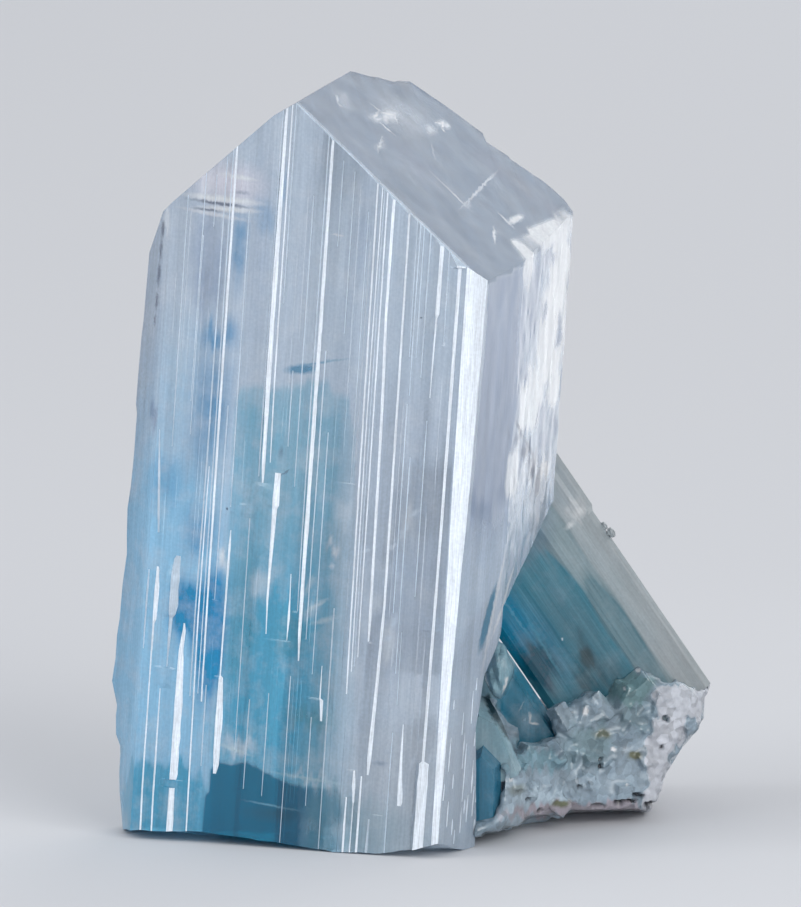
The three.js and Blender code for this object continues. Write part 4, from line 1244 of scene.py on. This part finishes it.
HAND_GRAINS = [  # place across, seen height, half sizes, lean
    ((6.4, 5.7), (.42, .5, .7), -30), ((7.6, 5.9), (.5, .6, .55), 20), ((8.4, 6.2), (.36, .6, .8), -38),
    ((9.8, 6.7), (.65, .7, .75), 25), ((10.6, 7.2), (.75, .7, .7), 50), ((11.5, 6.5), (.7, .8, .6), 15),
    ((4.9, 4.0), (.7, .5, .3), 12), ((3.9, 2.5), (.35, .6, .5), 0), ((11.4, 5.1), (.6, .6, .4), 10),
]
ROCK_GRID = 0.11            # size of the cells that the rock's surface is rebuilt from


def outline_gap(x, z):
    """Signed distance to the rock's seen outline, positive inside."""
    nearest = 99.0
    inside = False
    for (ax, az), (bx, bz) in zip(ROCK_SEEN, ROCK_SEEN[1:] + ROCK_SEEN[:1]):
        share = ((x - ax) * (bx - ax) + (z - az) * (bz - az)) / ((bx - ax) ** 2 + (bz - az) ** 2)
        share = min(max(share, 0), 1)
        nearest = min(nearest, math.dist((x, z), (ax + (bx - ax) * share, az + (bz - az) * share)))
        if (az > z) != (bz > z) and x < ax + (z - az) / (bz - az) * (bx - ax):
            inside = not inside
    return nearest if inside else -nearest


def at_seen(x, seen, deep):
    """The point at a depth that is seen at a place across and a height."""
    return x, deep, seen + (SIGHT_DEPTH - deep) * SIGHT_DROP


def rock_front(x, seen):
    """The point on the rock's front that is seen at a place across and a height."""
    gap = outline_gap(x, seen)
    bend = 1 - min(max(gap, 0) / ROCK_ROUND, 1)
    deep = along(ROCK_FRONT, x) + 1.3 * (1 - math.sqrt(1 - bend * bend)) - 0.12 * max(0, 4 - seen)
    deep += 0.25 * wave(x, seen, size=1.4, seed=84)
    return at_seen(x, seen, deep if gap > -0.01 else deep + 3)


slab = piece_from(block(np.arange(1.4, 14.7, ROCK_CELL), np.arange(-1, 8.8, ROCK_CELL), rock_front,
                        lambda x, z: at_seen(x, z, ROCK_BACK)), "slab", Matrix.Translation(foot_origin))
cutter = grid_solid([[at_seen(x, z, deep) for x, z in ROCK_SEEN] for deep in (2, 20)], lambda j, i: 0)
combine(slab, [piece_from(cutter, "seen_outline", Matrix.Translation(foot_origin))], "INTERSECT")

whole = bmesh.new()
whole.from_mesh(slab.data)
bpy.data.objects.remove(slab)
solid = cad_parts["matrix"].data.copy()
solid.transform(Matrix.Translation(-foot_origin))
whole.from_mesh(solid)
dice = random.Random(GRAIN_SEED)
grains = [(spot, half, lean, 0.0) for spot, half, lean in HAND_GRAINS]
for number in range(GRAIN_COUNT - len(HAND_GRAINS)):
    spot = (dice.uniform(2.6, 14.3), dice.uniform(-.4, 8.3))
    size = dice.uniform(*GRAIN_HALF)
    half = [size * dice.uniform(0.6, 1.2) for axis in range(3)]
    lean = dice.uniform(0, 360)
    nod = dice.uniform(-40, 40)
    if outline_gap(*spot) >= size * 0.8:
        grains.append((spot, half, lean, nod))
for (x, seen), half, lean, nod in grains:
    deep = rock_front(x, seen)[1] + half[1] * 0.8
    where = Matrix.Translation(Vector(at_seen(x, seen, deep)) * MM)
    where = where @ turn(lean, "Y") @ turn(nod, "X") @ turn(GRAIN_TURN, "Z")
    bmesh.ops.create_cube(whole, size=1, matrix=where @ Matrix.Diagonal([h * 2 * MM for h in half] + [1]))
rock = piece_from(whole, "matrix_rock", Matrix.Translation(foot_origin))
refine = rock.modifiers.new("refine", "REMESH")
refine.mode = "VOXEL"
refine.voxel_size = ROCK_GRID * MM
apply_modifiers(rock)

ROCK_TINTS = [  # name, colour, zones as place across and seen height
    ("teal", "84ABB8", [(4.9, 3.4, 2.0, .6, .6, .7), (4.6, 4.2, .8, .4, .6, .5)]),
    ("grey_green", "7FA0A4", [(9.9, 7.2, 1.3, 1.0, .5, .85), (7.9, 4.3, 1.3, 1.3, .8, .5),
                              (10.2, 5.6, .9, .7, .8, .4)]),
    ("frost", "BCCFDB", [(10.4, 2.6, 1.2, .8, .5, .3), (5.2, 1.2, 1.6, .7, .6, .9),
                         (8, 2.2, 2.5, .5, .8, .4), (7.5, 5.9, .5, .5, .6, .7), (6.4, 5.7, .4, .6, .6, .5),
                         (4.2, .7, 1.2, .8, .8, .5), (3.6, 2.3, .3, .3, .6, .6)]),
    ("pink", "B4ACB4", [(8.2, .75, 5.2, .4, .5, .85), (12.6, 6.2, .8, .6, .6, .3)]),
    ("crust", "D6D9E0", [(12.9, 6.45, 1.5, .95, .2, 1), (12.1, 5.0, .9, 1.0, .2, 1),
                         (11.5, 3.3, .6, 1.6, .2, 1), (11.3, 1.9, .5, 1.1, .2, .9),
                         (13.9, 7, .6, .5, .3, .8)]),
    ("olive", "73765A", [(10.26, 3.65, .38, .22, .8, .9), (8.57, 4.8, .5, .25, .8, .7),
                         (6.36, 1.1, .5, .2, .8, .8), (4.05, 1.95, .45, .3, .8, .5)]),
    # Pits: dented into the rock further down, and also painted almost black, which is painted shade in the
    # dents.
    ("pits", "22252D", [(11.1, 1.0, .32, .2, .4, 1), (9.41, 1.04, .28, .15, .5, 1),
                        (9.9, 1.2, .5, .07, .5, .9), (10.5, 1.5, .3, .1, .5, .8),
                        (11.94, 5.56, .16, .14, .5, .9), (8.47, 3.43, .1, .1, .5, .7),
                        (8.47, 3.11, .12, .12, .5, .8), (7.36, 2.0, .12, .08, .5, .7),
                        (8.3, .95, .35, .13, .6, .6), (5.2, .75, .14, .1, .5, .8),
                        (4.6, 1.4, .14, .1, .5, .6), (11.7, 4.1, .12, .1, .5, .7)]),
    ("sparkle", "FFFFFF", [(9.18, 3.91, .13, .12, .4, 1), (7.63, 5.98, .16, .22, .5, 1),
                           (10.47, 8.2, .16, .1, .5, .8), (9.73, 7.26, .08, .08, .5, .9),
                           (9.9, 2.1, .08, .08, .5, .8), (3.7, 2.5, .12, .1, .5, .7)]),
]
PIT_DEEP = 0.35
FINE_SPOTS = ("pits", "sparkle", "olive")
across, deep, height = points_of(rock).T
seen = height + (deep - SIGHT_DEPTH) * SIGHT_DROP
masks = {name: zone(across, seen, zones, (0.1, 0.1) if name in FINE_SPOTS else (0.6, 0.6), 1.0)
         for name, colour, zones in ROCK_TINTS}
behind = np.clip((deep - 15.5) / 1.5, 0, 1)
masks["crust"] = np.maximum(masks["crust"], behind * 0.8)
normals = [v.normal.copy() for v in rock.data.vertices]
for v, normal, sugar, pit in zip(rock.data.vertices, normals, masks["crust"], masks["pits"]):
    at = v.co / MM
    lumps = 0.04 * wave(*at, size=0.9, seed=81) + (0.008 + 0.1 * sugar) * wave(*at, size=0.28, seed=82)
    v.co += normal * (lumps - PIT_DEEP * pit) * MM
for name, values in masks.items():
    write_mask(rock, name, values)
combine(rock, [tall_space(), leaner_space(), grown(foot_crystals, 0.03), grown(blue_foot, 0.03), ground()])
without_chips(rock, CHIP_FACES)
crisp(rock, 28)

# Glassy feldspar grains under a sugary crust: wet-looking bluish grains, and a dull white rim. The
# specks of the real crust are finer than these, which are as coarse as they have to be to show.
FELDSPAR_IOR = 1.53
rock_coat, tree, out = new_material("glassy_grained_feldspar_rock")
own = add(tree, "ShaderNodeTexCoord")
place = add(tree, "ShaderNodeVectorMath", {0: own.outputs["Object"], "Scale": 1 / MM}, operation="SCALE")
patches = add(tree, "ShaderNodeTexNoise", {"Vector": place.outputs[0], "Scale": 1 / 1.1111, "Detail": 5.0,
                                           "Roughness": 0.6})
speckle = add(tree, "ShaderNodeTexNoise", {"Vector": place.outputs[0], "Scale": 1 / 0.2222, "Detail": 5.0,
                                           "Roughness": 0.7})
tone = add(tree, "ShaderNodeMapRange", {"Value": patches.outputs["Fac"], "From Min": 0.3, "From Max": 0.7,
                                        "To Min": 0.8, "To Max": 1.2})
glassy = add(tree, "ShaderNodeVectorMath", {0: linear("98ABB8")[:3], "Scale": tone.outputs[0]},
             operation="SCALE")
colour = tinted(tree, place.outputs[0], glassy.outputs[0], ROCK_TINTS, 0.3)
fleck = add(tree, "ShaderNodeMapRange", {"Value": speckle.outputs["Fac"], "From Min": 0.3, "From Max": 0.7,
                                         "To Min": 0.88, "To Max": 1.12})
cells = add(tree, "ShaderNodeTexVoronoi", {"Vector": place.outputs[0], "Scale": 1 / 0.42})
cell = add(tree, "ShaderNodeSeparateColor", {0: cells.outputs["Color"]})
facet = add(tree, "ShaderNodeMapRange", {"Value": cell.outputs[0], "To Min": 0.8, "To Max": 1.22})
shade = add(tree, "ShaderNodeMath", {0: fleck.outputs[0], 1: facet.outputs[0]}, operation="MULTIPLY")
flecked = add(tree, "ShaderNodeVectorMath", {0: colour, "Scale": shade.outputs[0]}, operation="SCALE")
sugary = add(tree, "ShaderNodeAttribute", attribute_name="crust")
dull = add(tree, "ShaderNodeMapRange", {"Value": sugary.outputs["Fac"], "To Min": 0.16, "To Max": 0.6})
rough_skin = add(tree, "ShaderNodeBump", {"Height": speckle.outputs["Fac"], "Strength": 0.4,
                                          "Distance": 0.03 * MM})
shader = add(tree, "ShaderNodeBsdfPrincipled", {
    "Base Color": flecked.outputs[0], "Roughness": dull.outputs[0], "Transmission Weight": 0.4,
    "IOR": FELDSPAR_IOR, "Normal": rough_skin.outputs["Normal"]})
tree.links.new(shader.outputs["BSDF"], out.inputs["Surface"])
coated(rock, rock_coat)
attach(rock, "root")
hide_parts("matrix")
